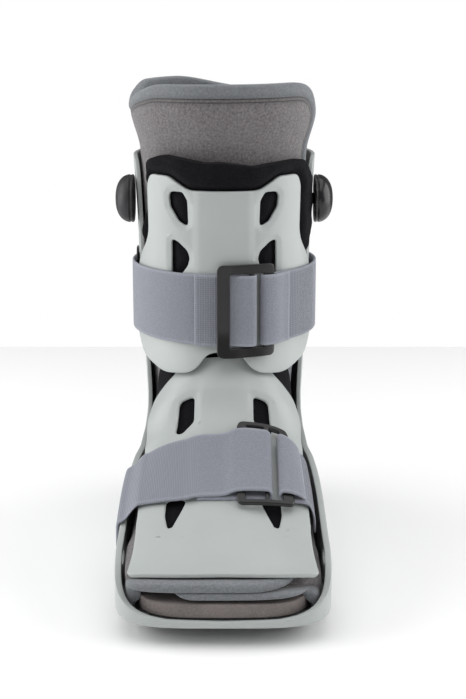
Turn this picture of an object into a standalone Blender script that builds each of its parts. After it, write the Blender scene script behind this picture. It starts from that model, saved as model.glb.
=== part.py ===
"""A short walking boot: a rigid boot that is worn over an injured lower leg and foot.

Metres, +Z up, the toe towards -Y. The origin is on the floor, in the middle of the boot's length and width.
Every soft or hard layer wraps the one inside it: liner, black pads, front panels, straps, with the tray and
its calf shell outside them all.
"""

import math

import bmesh
import bpy
import numpy as np
from mathutils import Vector
from mathutils.geometry import delaunay_2d_cdt

GAP = 0.0004  # clearance between hard neighbouring pieces
SOFT_GAP = 0.0010  # clearance round the curved soft layers, whose facets bow

# Base shell: the tray under the foot and the calf shell behind the leg
LENGTH = 0.300
TOE_Y = -LENGTH / 2
HEEL_Y = LENGTH / 2
TOE_HALF_WIDTH = 0.0715
HEEL_HALF_WIDTH = 0.0585
TOE_ROUND = 0.050  # length of the rounded toe end
TOE_POWER = 4.0  # squareness of the toe end
HEEL_ROUND = 0.083  # length of the rounded heel
HEEL_POWER = 2.2  # squareness of the heel
CALF_ROUND = 0.063  # depth of the calf shell behind the leg's axis
SHELL_WALL = 0.003
LIP_WIDTH = 0.0045  # width of the thickened rim along the foot
LIP_DEPTH = 0.007
SOLE_HEIGHT = 0.012  # underside of the tray
FLOOR = 0.004
FLOOR_FILLET = 0.0015
TOE_LIP = 0.0184  # height of the low front rim
WALL_BACK = 0.101  # wall height where the calf shell starts
SHELL_TOP = 0.290
SHELL_TOP_HALF_WIDTH = 0.0665
SHELL_CORNER = 0.014
CALF_EDGE = 0.013  # how far the calf shell reaches in front of the leg's axis
ANKLE_FILLET = 0.016
ANKLE_RUN = 0.035  # how far in front of the leg's axis the foot's rim starts
VENT_LENGTH = 0.014
VENT_HEIGHT = 0.009

# Sole and insole
OUTSOLE_INSET = 0.004
OUTSOLE_TOE_INSET = 0.014
TOE_SPRING = 0.0100
HEEL_SPRING = 0.0040
INSOLE_TOP = 0.0288
INSOLE_BACK = 0.064  # how far the insole ends before the heel
INSOLE_FRONT = 0.0036  # how far it stays behind the toe
INSOLE_TOE_IN = 0.07  # how much narrower its toe end is than the liner's, as a share
INSOLE_TAPER = 0.14  # how much narrower its underside is, as a share

# Liner: one padded band that wraps the foot and leg and laps over itself in front
LINER_TOP = 0.344
LINER_WALL = 0.0070
LINER_FOOT_WALL = 0.0052
LINER_UNDER = 0.0012
LINER_TOE_GAP = 0.0085  # how far the liner stays behind the toe lip
LINER_FLARE_HALF_WIDTH = 0.0685
LINER_FLARE = 0.011
LINER_FLARE_RUN = 0.035  # height over which it flares above the shell
LAP_LOOSE = 0.0020  # the lapping layers stand this much further apart at the open top
LINER_CORNER = 0.019
LINER_LAP_IN = -52  # where the inner flap ends round the leg, in degrees
LINER_LAP_OUT = 76
LINER_TOE_LAP_IN = -30
LINER_TOE_LAP_OUT = 40
STRAP_ROOM = 0.0022  # the liner is this much narrower where the foot strap goes inside the wall

# Front panels and the pads behind them
SHIN_FRONT_Y = 0.005
FOLD_Z = 0.175  # below this height the sections turn from the leg to the foot
FOLD_Y = -0.025
PANEL_WALL = 0.003
PANEL_STACK = 0.0095  # panel and pad together, in front of the liner
TOE_STACK = 0.0044
PANEL_CORNER = 0.006
SHIN_PANEL_TOP = 0.279
SHIN_PANEL_BOTTOM = 0.1385
SHIN_FLARE = 0.010
SHIN_FLARE_HEIGHT = 0.036
SHIN_HALF_WIDTH = 0.0660
FOOT_PANEL_HALF_WIDTH = 0.0630
FOOT_PANEL_RUN = 0.184  # from the toe to its upper edge, along the instep

# Straps and buckles
STRAP_WIDTH = 0.0508
STRAP_WALL = 0.0018
SHIN_STRAP_Z = 0.1865
SHIN_STITCH = 0.020  # where the folded-back end is sewn down, left of the middle
SHIN_TAB = 0.0485  # where the right loop's end lies
ANCHOR_WIDTH = 0.012
ANCHOR_SET_BACK = 0.002  # how far the anchor plate reaches behind the leg's axis
FOOT_STRAP_Y = -0.0570
FOOT_STRAP_RUN = 0.0440  # what the foot strap covers of the boot's length
FOOT_STITCH = 0.018
FOOT_TAB = 0.0545
FOOT_STRAP_DROP = 0.024  # how far its left end hangs outside the tray
BUCKLE_BAR = 0.0024
BUCKLE_CORNER = 0.0045
BUCKLE_LENGTH = 0.066
FOOT_BUCKLE_RUN = 0.058  # what the foot buckle covers of the boot's length

# Pump bulb on one side, turning selector dial on the other
KNOB_RADIUS = 0.0175
KNOB_Z = 0.257
KNOB_FORWARD = 0.005  # in front of the leg's axis
KNOB_HEIGHT = 0.0138
KNOB_EDGE = 0.0030
SPINDLE_RADIUS = 0.0040
SPINDLE_SHY = 0.0006  # the spindle ends this much before the wall's inner face

AXIS_Y = HEEL_Y - HEEL_ROUND
KNOB_Y = AXIS_Y - KNOB_FORWARD
FLOOR_TOP = SOLE_HEIGHT + FLOOR
WALL_START = FLOOR_TOP + FLOOR_FILLET
SHIN_DEPTH = AXIS_Y - SHIN_FRONT_Y
CALF_BACK_Y = AXIS_Y + CALF_ROUND
TOE_START = TOE_Y + TOE_ROUND

# Shapes as shares of the sizes above
ROCKER_TOE, ROCKER_HEEL = -0.213, 0.27  # the sole is flat between these shares of the length
PLAN = ((-1 / 3, 1.0), (-0.2, 0.81), (-0.07, 0.42), (0.0, 0.12), (0.23, 0.0))
CALF_WIDTHS = ((0.38, 0.0), (0.74, 0.58), (0.82, 0.66), (1.0, 1.0))
WALL_TOP = ((-0.5, 0.0), (-0.49, 0.03), (-0.433, 0.17), (-0.367, 0.31), (-0.273, 0.44),
            (-0.103, 0.76), (0.0, 0.85), (0.1, 0.885), (0.17, 0.92))
INSTEP = ((-0.5, 0.25), (-0.45, 0.263), (-0.333, 0.354), (-0.2, 0.48), (-0.0667, 0.651), (0.0, 0.78))
FOLD = ((0, 0.465), (15, 0.53), (30, 0.6), (45, 0.62), (65, 0.705), (90, 1.0))
UNDER_SQUARENESS = ((-0.5, 10.0), (-0.1, 9.0), (0.1, 4.0), (0.3, 2.2), (0.5, 2.0))
SQUARENESS = ((-0.5, 5.0), (-0.4, 4.4), (-0.2, 3.0), (-0.06, 2.5), (0.12, 2.1), (0.5, 2.0))
PANEL_WIDTHS = ((0.0, 1.0), (0.366, 1.0), (1.09, 0.985))
LINER_DROPS = ((-60, 0.37), (20, 0.37), (60, 0.44), (90, 0.54), (130, 0.37), (180, 0.167), (215, 0.046),
               (240, 0.056), (255, 0.167), (272, 0.296), (300, 0.111), (318, 0.019), (360, 0.0), (440, 0.0))
VENTS = ((-0.36, 0.73), (-0.287, 0.68))

# Outlines of the right half: shares of half-width and height, and corner radii as shares of PANEL_CORNER
SHIN_PANEL = ((0.0, 0.103, 2.0), (0.5, 0.0, 3.0), (0.864, 0.05, 2.0), (0.976, 0.139, 1.67),
              (0.967, 0.473, 1.33), (0.927, 0.555, 1.0), (0.826, 0.673, 2.0), (0.838, 0.95, 1.0),
              (0.682, 1.0, 1.0), (0.0, 0.94, 0.0))
SHIN_HOLES = (((0.432, 0.9, 0.33), (0.644, 0.922, 0.5), (0.624, 0.879, 0.67), (0.515, 0.744, 0.5),
               (0.427, 0.808, 0.5)),
              ((0.674, 0.708, 0.5), (0.659, 0.473, 0.67), (0.4545, 0.48, 0.67), (0.417, 0.559, 1.0),
               (0.47, 0.623, 0.67)))
SHIN_PAD = ((0.818, 0.167, 1.33), (0.9, 0.438, 1.67), (0.886, 1.014, 2.0), (0.606, 1.0925, 1.67))
FOOT_PANEL = ((0.0, 0.076, 0.0), (1.0, 0.068, 0.4), (0.889, 0.326, 3.33), (0.841, 0.679, 3.33),
              (0.825, 0.815, 2.0), (0.571, 0.935, 2.0), (0.476, 1.0, 1.0))
FOOT_HOLES = (((0.325, 0.853, 0.5), (0.4365, 0.853, 0.5), (0.54, 0.723, 0.5), (0.325, 0.777, 0.5)),
              ((0.389, 0.413, 0.67), (0.587, 0.38, 0.5), (0.571, 0.304, 0.5)))
FOOT_PAD = ((0.794, 0.359, 1.67), (0.77, 0.652, 3.33), (0.857, 0.87, 1.67), (0.794, 1.033, 1.67))


def clear_scene():
    for item in list(bpy.data.objects):
        bpy.data.objects.remove(item)


def smooth_table(table):
    """A curve through the table's points that never overshoots them."""
    xs, ys = (np.array(column, float) for column in zip(*table))
    steps = np.diff(ys) / np.diff(xs)
    slopes = np.zeros_like(ys)
    for i in range(1, len(xs) - 1):
        if steps[i - 1] * steps[i] > 0:
            slopes[i] = 2 * steps[i - 1] * steps[i] / (steps[i - 1] + steps[i])
    slopes[0], slopes[-1] = steps[0], steps[-1]

    def value(x):
        x = min(max(x, xs[0]), xs[-1])
        i = min(int(np.searchsorted(xs, x, side="right")) - 1, len(xs) - 2)
        h = xs[i + 1] - xs[i]
        t = (x - xs[i]) / h
        return float(
            ys[i] * (1 + 2 * t) * (1 - t) ** 2 + ys[i + 1] * t * t * (3 - 2 * t)
            + h * slopes[i] * t * (1 - t) ** 2 - h * slopes[i + 1] * t * t * (1 - t)
        )

    return value


def ease(x, start, end):
    """0 before start, 1 after end, smooth between them."""
    t = min(max((x - start) / (end - start), 0.0), 1.0)
    return t * t * (3 - 2 * t)


def mix(a, b, t):
    return a + (b - a) * t


plan_share = smooth_table(PLAN)
calf_share = smooth_table(CALF_WIDTHS)
wall_share = smooth_table(WALL_TOP)
instep_share = smooth_table(INSTEP)
fold_share = smooth_table(FOLD)
squareness = smooth_table(SQUARENESS)
under_squareness = smooth_table(UNDER_SQUARENESS)
panel_width_share = smooth_table(PANEL_WIDTHS)
drop_share = smooth_table(LINER_DROPS)


# Base shell outline

def calf_blend(z):
    """0 where a section is the foot's plan, 1 where it is the calf's ellipse."""
    return ease(z, 0.5 * WALL_BACK, 1.2 * WALL_BACK)


def rear_size(z):
    """Half-width and depth of the round rear of the shell at height z."""
    half = HEEL_HALF_WIDTH + (SHELL_TOP_HALF_WIDTH - HEEL_HALF_WIDTH) * calf_share(z / SHELL_TOP)
    return half, mix(HEEL_ROUND, CALF_ROUND, calf_blend(z))


def side_half_width(y, z, inset=0.0):
    """Half-width of the shell at y in front of the leg's axis, at height z."""
    foot = HEEL_HALF_WIDTH + (TOE_HALF_WIDTH - HEEL_HALF_WIDTH) * plan_share(y / LENGTH)
    half = rear_size(z)[0]
    reach = min(AXIS_Y - y, CALF_EDGE) / (CALF_ROUND - inset)
    calf = (half - inset) * math.sqrt(1 - reach * reach)
    return mix(foot - inset, calf, calf_blend(z) * ease(y, 0, AXIS_Y))


def wall_top(y):
    return TOE_LIP + (WALL_BACK - TOE_LIP) * wall_share(y / LENGTH)


REAR_RUN = 0.5 * math.pi * math.sqrt((HEEL_ROUND**2 + HEEL_HALF_WIDTH**2) / 2)
SIDE_RUN = AXIS_Y - TOE_START
TOE_RUN = TOE_HALF_WIDTH + TOE_ROUND
FULL_RUN = REAR_RUN + SIDE_RUN + TOE_RUN


def rounded(angle, half, depth, power, back_power=None):
    """A point of a superellipse, by its direction; its rear half may have another squareness."""
    c, s = math.cos(angle), math.sin(angle)
    power = back_power if back_power and c < 0 else power
    k = (abs(c) ** power + abs(s) ** power) ** (-1 / power)
    return half * k * s, depth * k * c


def shell_point(run, z, inset=0.0):
    """Run goes along the shell from the back's middle, + to the right; inset goes inwards."""
    side = math.copysign(1.0, run)
    run = abs(run)
    half, depth = rear_size(z)
    if run < REAR_RUN:
        x, y = rounded(run / REAR_RUN * math.pi / 2, half - inset, depth - inset, HEEL_POWER)
        y += AXIS_Y
    elif run < REAR_RUN + SIDE_RUN:
        y = AXIS_Y - (run - REAR_RUN)
        x = side_half_width(y, z, inset)
    else:
        angle = (run - REAR_RUN - SIDE_RUN) / TOE_RUN * math.pi / 2
        x, y = rounded(math.pi / 2 - angle, TOE_HALF_WIDTH - inset, TOE_ROUND - inset, TOE_POWER)
        y = TOE_START - y
    return Vector((side * x, y, z))


def side_run(y):
    """The run at which the shell's side reaches y."""
    if y >= TOE_START:
        return REAR_RUN + AXIS_Y - y
    share = min((TOE_START - y) / TOE_ROUND, 1.0)
    x = (1 - share**TOE_POWER) ** (1 / TOE_POWER)
    return REAR_RUN + SIDE_RUN + TOE_RUN * math.atan2(share, x) / (math.pi / 2)


def lip(y):
    """How much thicker the rim is than the wall, at y."""
    return (LIP_WIDTH - SHELL_WALL) * ease(wall_top(y), TOE_LIP, 2 * TOE_LIP) * (1 - ease(y, 0, AXIS_Y))


RIM_CLEAR = 0.0035  # layers this far above the low toe rim may spread over it


def keep_inside(point, inset):
    """Moves a point of an inner layer inwards where it would reach the shell's wall."""
    x, y, z = point
    if z > SHELL_TOP:
        return Vector(point)
    inset += lip(y)
    if y > AXIS_Y:
        half, depth = rear_size(z)
        over = abs(x / (half - inset)) ** HEEL_POWER + ((y - AXIS_Y) / (depth - inset)) ** HEEL_POWER
        over = over ** (1 / HEEL_POWER)
        if over > 1:
            return Vector((x / over, AXIS_Y + (y - AXIS_Y) / over, z))
    elif y < TOE_START:
        half, depth = TOE_HALF_WIDTH - inset, TOE_ROUND - inset
        reach = (TOE_START - y) / depth
        over = (abs(x / half) ** TOE_POWER + reach**TOE_POWER) ** (1 / TOE_POWER)
        if over > 1:
            kept = Vector((x / over, TOE_START - reach * depth / over, z))
            return kept.lerp(point, ease(z, wall_top(y) + RIM_CLEAR, wall_top(y) + 3 * RIM_CLEAR))
    else:
        limit = side_half_width(y, z, inset)
        return Vector((min(max(x, -limit), limit), y, z))
    return Vector(point)


# Flat outlines and the solids made from them

SLIVER = 4e-9  # twice the area of a triangle that is only a line
NEAR = 0.3  # square of the share of a step that grid points keep from the edges


def round_corners(corners, steps=4):
    """Corners are (u, v, radius); round ones become arcs."""
    points = []
    count = len(corners)
    for i, (u, v, radius) in enumerate(corners):
        here = Vector((u, v))
        if radius <= 0:
            points.append(here)
            continue
        before = Vector(corners[i - 1][:2]) - here
        after = Vector(corners[(i + 1) % count][:2]) - here
        half = before.angle(after) / 2
        reach = min(radius / math.tan(half), 0.48 * before.length, 0.48 * after.length)
        start = here + before.normalized() * reach
        end = here + after.normalized() * reach
        for k in range(steps + 1):
            t = k / steps
            points.append(start * (1 - t) ** 2 + here * 2 * t * (1 - t) + end * t * t)
    return points


def resample(loop, step):
    """Adds points along a closed loop so that none of its edges is longer than step."""
    points = []
    for i, a in enumerate(loop):
        b = loop[(i + 1) % len(loop)]
        parts = max(1, math.ceil((b - a).length / step - 1e-6))
        points += [a.lerp(b, k / parts) for k in range(parts)]
    return points


def contains(loop, u, v):
    """Whether each (u, v) lies inside the closed loop."""
    inside = np.zeros(len(u), bool)
    for i, a in enumerate(loop):
        b = loop[(i + 1) % len(loop)]
        crosses = (a.y > v) != (b.y > v)
        with np.errstate(divide="ignore", invalid="ignore"):
            at = a.x + (v - a.y) * (b.x - a.x) / (b.y - a.y)
        inside ^= crosses & (u < at)
    return inside


def fill(rim, holes, step_u, step_v):
    """Triangles over the area inside rim and outside the holes, on a grid of the given steps."""
    loops = [resample(loop, min(step_u, step_v)) for loop in [rim] + holes]
    edge = np.array([tuple(p) for loop in loops for p in loop])
    low, high = edge.min(axis=0), edge.max(axis=0)
    rows = np.arange(low[1] + step_v / 2, high[1], step_v)
    grid = []
    for k, v in enumerate(rows):
        for u in np.arange(low[0] + step_u * (0.25 + 0.5 * (k % 2)), high[0], step_u):
            grid.append((u, v))
    grid = np.array(grid)
    keep = contains(loops[0], grid[:, 0], grid[:, 1])
    for loop in loops[1:]:
        keep &= ~contains(loop, grid[:, 0], grid[:, 1])
    grid = grid[keep]
    scale = np.array([step_u, step_v])
    far = [np.min(np.sum(((edge - p) / scale) ** 2, axis=1)) > NEAR for p in grid]
    grid = grid[np.array(far, bool)] if len(grid) else grid
    points = [Vector(p) for p in edge] + [Vector(p) for p in grid]
    constraints = []
    first = 0
    for loop in loops:
        constraints += [(first + i, first + (i + 1) % len(loop)) for i in range(len(loop))]
        first += len(loop)
    verts, _, faces, *_ = delaunay_2d_cdt(points, constraints, [], 0, 1e-7)

    def twice_area(face):
        a, b, c = (verts[i] for i in face)
        return abs((b - a).cross(c - a))

    faces = [face for face in faces if twice_area(face) > SLIVER]
    centres = np.array([tuple(sum((verts[i] for i in face), Vector((0, 0))) / 3) for face in faces])
    keep = contains(loops[0], centres[:, 0], centres[:, 1])
    for loop in loops[1:]:
        keep &= ~contains(loop, centres[:, 0], centres[:, 1])
    return verts, [tuple(face) for face, kept in zip(faces, keep) if kept]


def open_edges(faces):
    """Edges that only one face uses, in that face's direction."""
    used = {(face[i], face[(i + 1) % len(face)]) for face in faces for i in range(len(face))}
    return [(a, b) for a, b in sorted(used) if (b, a) not in used]


def make_object(name, points, faces, colour, roughness, metallic=0.0):
    """One named object with its own material, its doubled points joined and its faces outwards."""
    mesh = bpy.data.meshes.new(name)
    mesh.from_pydata([tuple(p) for p in points], [], faces)
    work = bmesh.new()
    work.from_mesh(mesh)
    bmesh.ops.remove_doubles(work, verts=work.verts, dist=2e-6)
    bmesh.ops.recalc_face_normals(work, faces=work.faces)
    work.to_mesh(mesh)
    work.free()
    mesh.shade_smooth()
    mesh.set_sharp_from_angle(angle=math.radians(40))
    material = bpy.data.materials.new(name)
    material.use_nodes = True
    shader = material.node_tree.nodes["Principled BSDF"]
    shader.inputs["Base Color"].default_value = (*colour, 1.0)
    shader.inputs["Roughness"].default_value = roughness
    shader.inputs["Metallic"].default_value = metallic
    mesh.materials.append(material)
    item = bpy.data.objects.new(name, mesh)
    bpy.context.scene.collection.objects.link(item)
    return item


def plate(rim, holes, step_u, step_v, front, back):
    """Points and faces of a closed sheet between two surfaces over one outline."""
    verts, faces = fill(rim, holes, step_u, step_v)
    count = len(verts)
    points = [front(*v) for v in verts] + [back(*v) for v in verts]
    solid = list(faces) + [tuple(count + i for i in reversed(face)) for face in faces]
    solid += [(b, a, count + a, count + b) for a, b in open_edges(faces)]
    return points, solid


def mirrored(corners):
    return [(-u, v, radius) for u, v, radius in reversed(corners)]


def ribbon(path, across, wall, surface):
    """A strip of one thickness: path is its centreline as (along, height), across its places in width."""
    path = [Vector(p) for p in path]
    points = []
    for i, here in enumerate(path):
        ahead = path[min(i + 1, len(path) - 1)] - path[max(i - 1, 0)]
        normal = Vector((-ahead.y, ahead.x)).normalized() * wall / 2
        for side in (1, -1):
            spot = here + side * normal
            points += [surface(spot.x, w, spot.y) for w in across]
    row = len(across)
    faces = []

    def quad_rows(first, second):
        return [(first + k, first + k + 1, second + k + 1, second + k) for k in range(row - 1)]

    for i in range(len(path) - 1):
        top, low = 2 * row * i, 2 * row * i + row
        next_top, next_low = top + 2 * row, low + 2 * row
        faces += quad_rows(top, next_top)
        faces += [face[::-1] for face in quad_rows(low, next_low)]
        faces.append((top, next_top, next_low, low))
        faces.append((top + row - 1, low + row - 1, next_low + row - 1, next_top + row - 1))
    last = 2 * row * (len(path) - 1)
    faces += [face[::-1] for face in quad_rows(0, row)]
    faces += quad_rows(last, last + row)
    return points, faces


# Leg and foot sections, seen from the liner outwards

def stack(y):
    """Thickness of the pad and panel in front of the liner."""
    return mix(TOE_STACK, PANEL_STACK, ease(y, TOE_Y + 0.1 * LENGTH, TOE_Y + 0.25 * LENGTH))


def instep(y):
    """Height of the foot panel's outer face along its middle."""
    return FOLD_Z * instep_share(y / LENGTH)


LINER_INSET = SHELL_WALL + 2.2 * SOFT_GAP
HEEL_CORNER = 0.022


def back_profile():
    """The liner's outer line from the calf's back round the heel to the sole, as (y, z)."""
    low = FLOOR_TOP + GAP
    line = []
    for z in np.linspace(FOLD_Z, low + HEEL_CORNER, 12):
        line.append((AXIS_Y + rear_size(z)[1] - LINER_INSET, z))
    corner_y = line[-1][0] - HEEL_CORNER
    for angle in np.linspace(0, math.pi / 2, 7)[1:]:
        line.append((corner_y + HEEL_CORNER * math.cos(angle), low + HEEL_CORNER * (1 - math.sin(angle))))
    line.append((TOE_Y, low))
    return line


BACK = back_profile()
FOLD_DROP = FOLD_Z - instep(FOLD_Y)


def back_distance(angle):
    """Distance from the fold's pivot to the back profile, in a direction below the horizontal."""
    direction = Vector((math.cos(angle), -math.sin(angle)))
    best = 0.0
    for (ay, az), (by, bz) in zip(BACK, BACK[1:]):
        a = Vector((ay - FOLD_Y, az - FOLD_Z))
        b = Vector((by - FOLD_Y, bz - FOLD_Z))
        side_a, side_b = direction.cross(a), direction.cross(b)
        if (side_a <= 1e-9) != (side_b <= 1e-9) or abs(side_a) < 1e-9:
            t = side_a / (side_a - side_b) if side_a != side_b else 0.0
            best = max(best, a.lerp(b, t).dot(direction))
    return best


FOOT_RUN = FOLD_Y - TOE_Y
FOLD_RUN = 0.100
LEG_START = FOOT_RUN + FOLD_RUN


def section(run):
    """Front point, back point and squareness of the section at this run from the toe to the top."""
    if run < FOOT_RUN:
        y = TOE_Y + run
        front, back, drop = Vector((y, instep(y))), Vector((y, FLOOR_TOP + GAP)), stack(y)
        power = squareness(y / LENGTH)
    elif run < LEG_START:
        angle = (LEG_START - run) / FOLD_RUN * math.pi / 2
        direction = Vector((math.cos(angle), -math.sin(angle)))
        pivot = Vector((FOLD_Y, FOLD_Z))
        reach = mix((SHIN_FRONT_Y - FOLD_Y) / FOLD_DROP, 1.0,
                    (fold_share(math.degrees(angle)) - FOLD[0][1]) / (1 - FOLD[0][1])) * FOLD_DROP
        front, back = pivot + direction * reach, pivot + direction * back_distance(angle)
        drop = mix(PANEL_STACK, stack(FOLD_Y), math.degrees(angle) / 90)
        power = squareness((FOLD_Y + (run - FOOT_RUN)) / LENGTH)
    else:
        z = FOLD_Z + run - LEG_START
        flare = ease(z, SHELL_TOP, SHELL_TOP + LINER_FLARE_RUN)
        front = Vector((SHIN_FRONT_Y - flare * LINER_FLARE, z))
        back = Vector((CALF_BACK_Y - LINER_INSET + 0.6 * flare * LINER_FLARE, z))
        drop = PANEL_STACK
        power = 2.0
    front = front + (back - front).normalized() * drop
    return front, back, power


def liner_half_width(centre):
    y, z = centre
    if z > SHELL_TOP:
        inside = SHELL_TOP_HALF_WIDTH - LINER_INSET
        return mix(inside, LINER_FLARE_HALF_WIDTH, ease(z, SHELL_TOP, SHELL_TOP + LINER_FLARE_RUN))
    if y > AXIS_Y:
        return rear_size(z)[0] - LINER_INSET
    if y < TOE_START:
        return TOE_HALF_WIDTH - LINER_INSET
    room = STRAP_ROOM * ease(y, TOE_START, TOE_START + 0.02) * (1 - ease(y, -0.02, 0.0))
    return side_half_width(y, z, LINER_INSET) - room


def body_point(angle, run, out=0.0):
    """A point of the liner's outer surface, or of a layer that lies out from it.

    Angle is 0 at the front of the leg or the top of the foot and grows to the right.
    """
    front, back, power = section(run)
    centre = (front + back) / 2
    depth = (front - back).length / 2
    towards = (front - back).normalized()
    half = liner_half_width(centre)
    under = under_squareness((TOE_Y + run) / LENGTH) if run < LEG_START else power
    x, v = rounded(angle, half + out, depth + out, power, max(power, under))
    spot = centre + towards * v
    bend = TOE_ROUND * 0.28 * (abs(x) / TOE_HALF_WIDTH) ** 4 * (1 - ease(run, 0.0, 0.3 * LENGTH))
    return Vector((x, spot.x + bend, spot.y))


def run_of(y):
    return y - TOE_Y


def leg_run(z):
    return LEG_START + z - FOLD_Z


# Pieces

def oval(u, v, half, height, sides):
    turns = np.linspace(0, 2 * math.pi, sides, endpoint=False)
    return [Vector((u + half * math.cos(a), v + height * math.sin(a))) for a in turns]


def base_shell():
    edge = REAR_RUN + CALF_EDGE
    right = [(edge, SHELL_TOP, SHELL_CORNER), (edge, WALL_BACK, ANKLE_FILLET)]
    right += [(side_run(y), wall_top(y), 0) for y in np.linspace(AXIS_Y - ANKLE_RUN, TOE_START, 9)]
    for share in (0.8, 0.6, 0.42, 0.27, 0.14, 0.05):
        y = TOE_Y + share * TOE_ROUND
        right.append((side_run(y), wall_top(y), 0))
    right += [(FULL_RUN, TOE_LIP, 0), (FULL_RUN, WALL_START, 0)]
    left = [(-u, v, r) for u, v, r in reversed(right)]
    rim = round_corners(left + right)
    holes = []
    for side in (-1, 1):
        for place, height in VENTS:
            y = place * LENGTH
            holes.append(oval(side * side_run(y), height * wall_top(y), VENT_LENGTH / 2, VENT_HEIGHT / 2, 10))
    bore = SPINDLE_RADIUS + GAP
    holes.append(oval(side_run(KNOB_Y), KNOB_Z, bore, bore, 16))
    verts, faces = fill(rim, holes, 0.011, 0.012)
    count = len(verts)

    def wall(run, z):
        y = shell_point(run, z).y
        return SHELL_WALL + lip(y) * min(max(1 - (wall_top(y) - z) / LIP_DEPTH, 0.0), 1.0)

    points = [shell_point(*v) for v in verts] + [shell_point(*v, inset=wall(*v)) for v in verts]
    solid = list(faces) + [tuple(count + i for i in reversed(face)) for face in faces]
    bottom = []
    for a, b in open_edges(faces):
        low = max(verts[a].y, verts[b].y) < WALL_START + 1e-7
        seam = min(abs(verts[a].x), abs(verts[b].x)) > FULL_RUN - 1e-7
        if low:
            bottom.append((a, b))
        elif not seam:
            solid.append((b, a, count + a, count + b))
    after = dict(bottom)
    first = min(after, key=lambda i: verts[i].x)
    order = [first]
    while order[-1] in after:
        order.append(after[order[-1]])
    runs = [verts[i].x for i in order]
    fillets = ((0, WALL_START - SOLE_HEIGHT, 0.0), (count, FLOOR_FILLET, SHELL_WALL))
    for start, radius, base_inset in fillets:
        previous = [start + i for i in order]
        for angle in np.linspace(0, math.pi / 2, 4)[1:]:
            inset = base_inset + radius * (1 - math.cos(angle))
            ring = [len(points) + k for k in range(len(runs))]
            points += [shell_point(run, WALL_START - radius * math.sin(angle), inset) for run in runs]
            solid += [(previous[k], ring[k], ring[k + 1], previous[k + 1]) for k in range(len(runs) - 1)]
            previous = ring
        solid.append(tuple(previous[:-1]))
    return make_object("base_shell", points, solid, (0.62, 0.65, 0.63), 0.42)


OUTLINE_RUNS = np.linspace(-FULL_RUN, FULL_RUN, 49)[:-1]


def outsole_outline():
    """The shell's underside a little smaller, and clearly smaller round the toe."""
    points = []
    for run in OUTLINE_RUNS:
        y = shell_point(run, SOLE_HEIGHT).y
        back = ease(y, TOE_START - 0.5 * TOE_ROUND, TOE_START + TOE_ROUND)
        inset = mix(OUTSOLE_TOE_INSET, OUTSOLE_INSET, back)
        spot = shell_point(run, SOLE_HEIGHT, inset)
        points.append(Vector((spot.x, spot.y)))
    return points


def rocker(y):
    """Height of the outsole's underside."""
    toe = (ROCKER_TOE * LENGTH - y) / (ROCKER_TOE * LENGTH - TOE_Y)
    heel = (y - ROCKER_HEEL * LENGTH) / (HEEL_Y - ROCKER_HEEL * LENGTH)
    return TOE_SPRING * max(toe, 0.0) ** 1.8 + HEEL_SPRING * max(heel, 0.0) ** 2


def outsole():
    top = SOLE_HEIGHT - GAP
    points, faces = plate(outsole_outline(), [], 0.024, 0.014,
                          lambda x, y: Vector((x, y, top)), lambda x, y: Vector((x, y, rocker(y))))
    return make_object("outsole", points, faces, (0.20, 0.21, 0.22), 0.8)


def insole():
    """The foam sole inside the liner; its underside is slightly smaller than its top."""
    low = FLOOR_TOP + LINER_UNDER + 2 * SOFT_GAP
    outline = []
    for run in OUTLINE_RUNS:
        y = shell_point(run, SOLE_HEIGHT).y
        wall = mix(LINER_FOOT_WALL, LINER_WALL + 4.5 * SOFT_GAP, ease(y, TOE_START, 0.0))
        inset = LINER_INSET + wall + STRAP_ROOM + SOFT_GAP
        spot = shell_point(run, SOLE_HEIGHT, inset)
        if spot.y < TOE_START:
            reach = (TOE_START - spot.y) / (TOE_ROUND - inset)
            narrower = 1 - INSOLE_TOE_IN * reach**2
            spot = Vector((spot.x * narrower, TOE_START - reach * (TOE_ROUND - INSOLE_FRONT)))
        spot = Vector((spot.x, min(spot.y, HEEL_Y - INSOLE_BACK)))
        if not outline or (spot - outline[-1]).length > 2 * SOFT_GAP:
            outline.append(spot)
    points, faces = plate(outline, [], 0.03, 0.03, lambda x, y: Vector((x, y, INSOLE_TOP)),
                          lambda x, y: Vector((x * (1 - INSOLE_TAPER), y, low)))
    return make_object("insole", points, faces, (0.16, 0.14, 0.13), 0.9)


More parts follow.
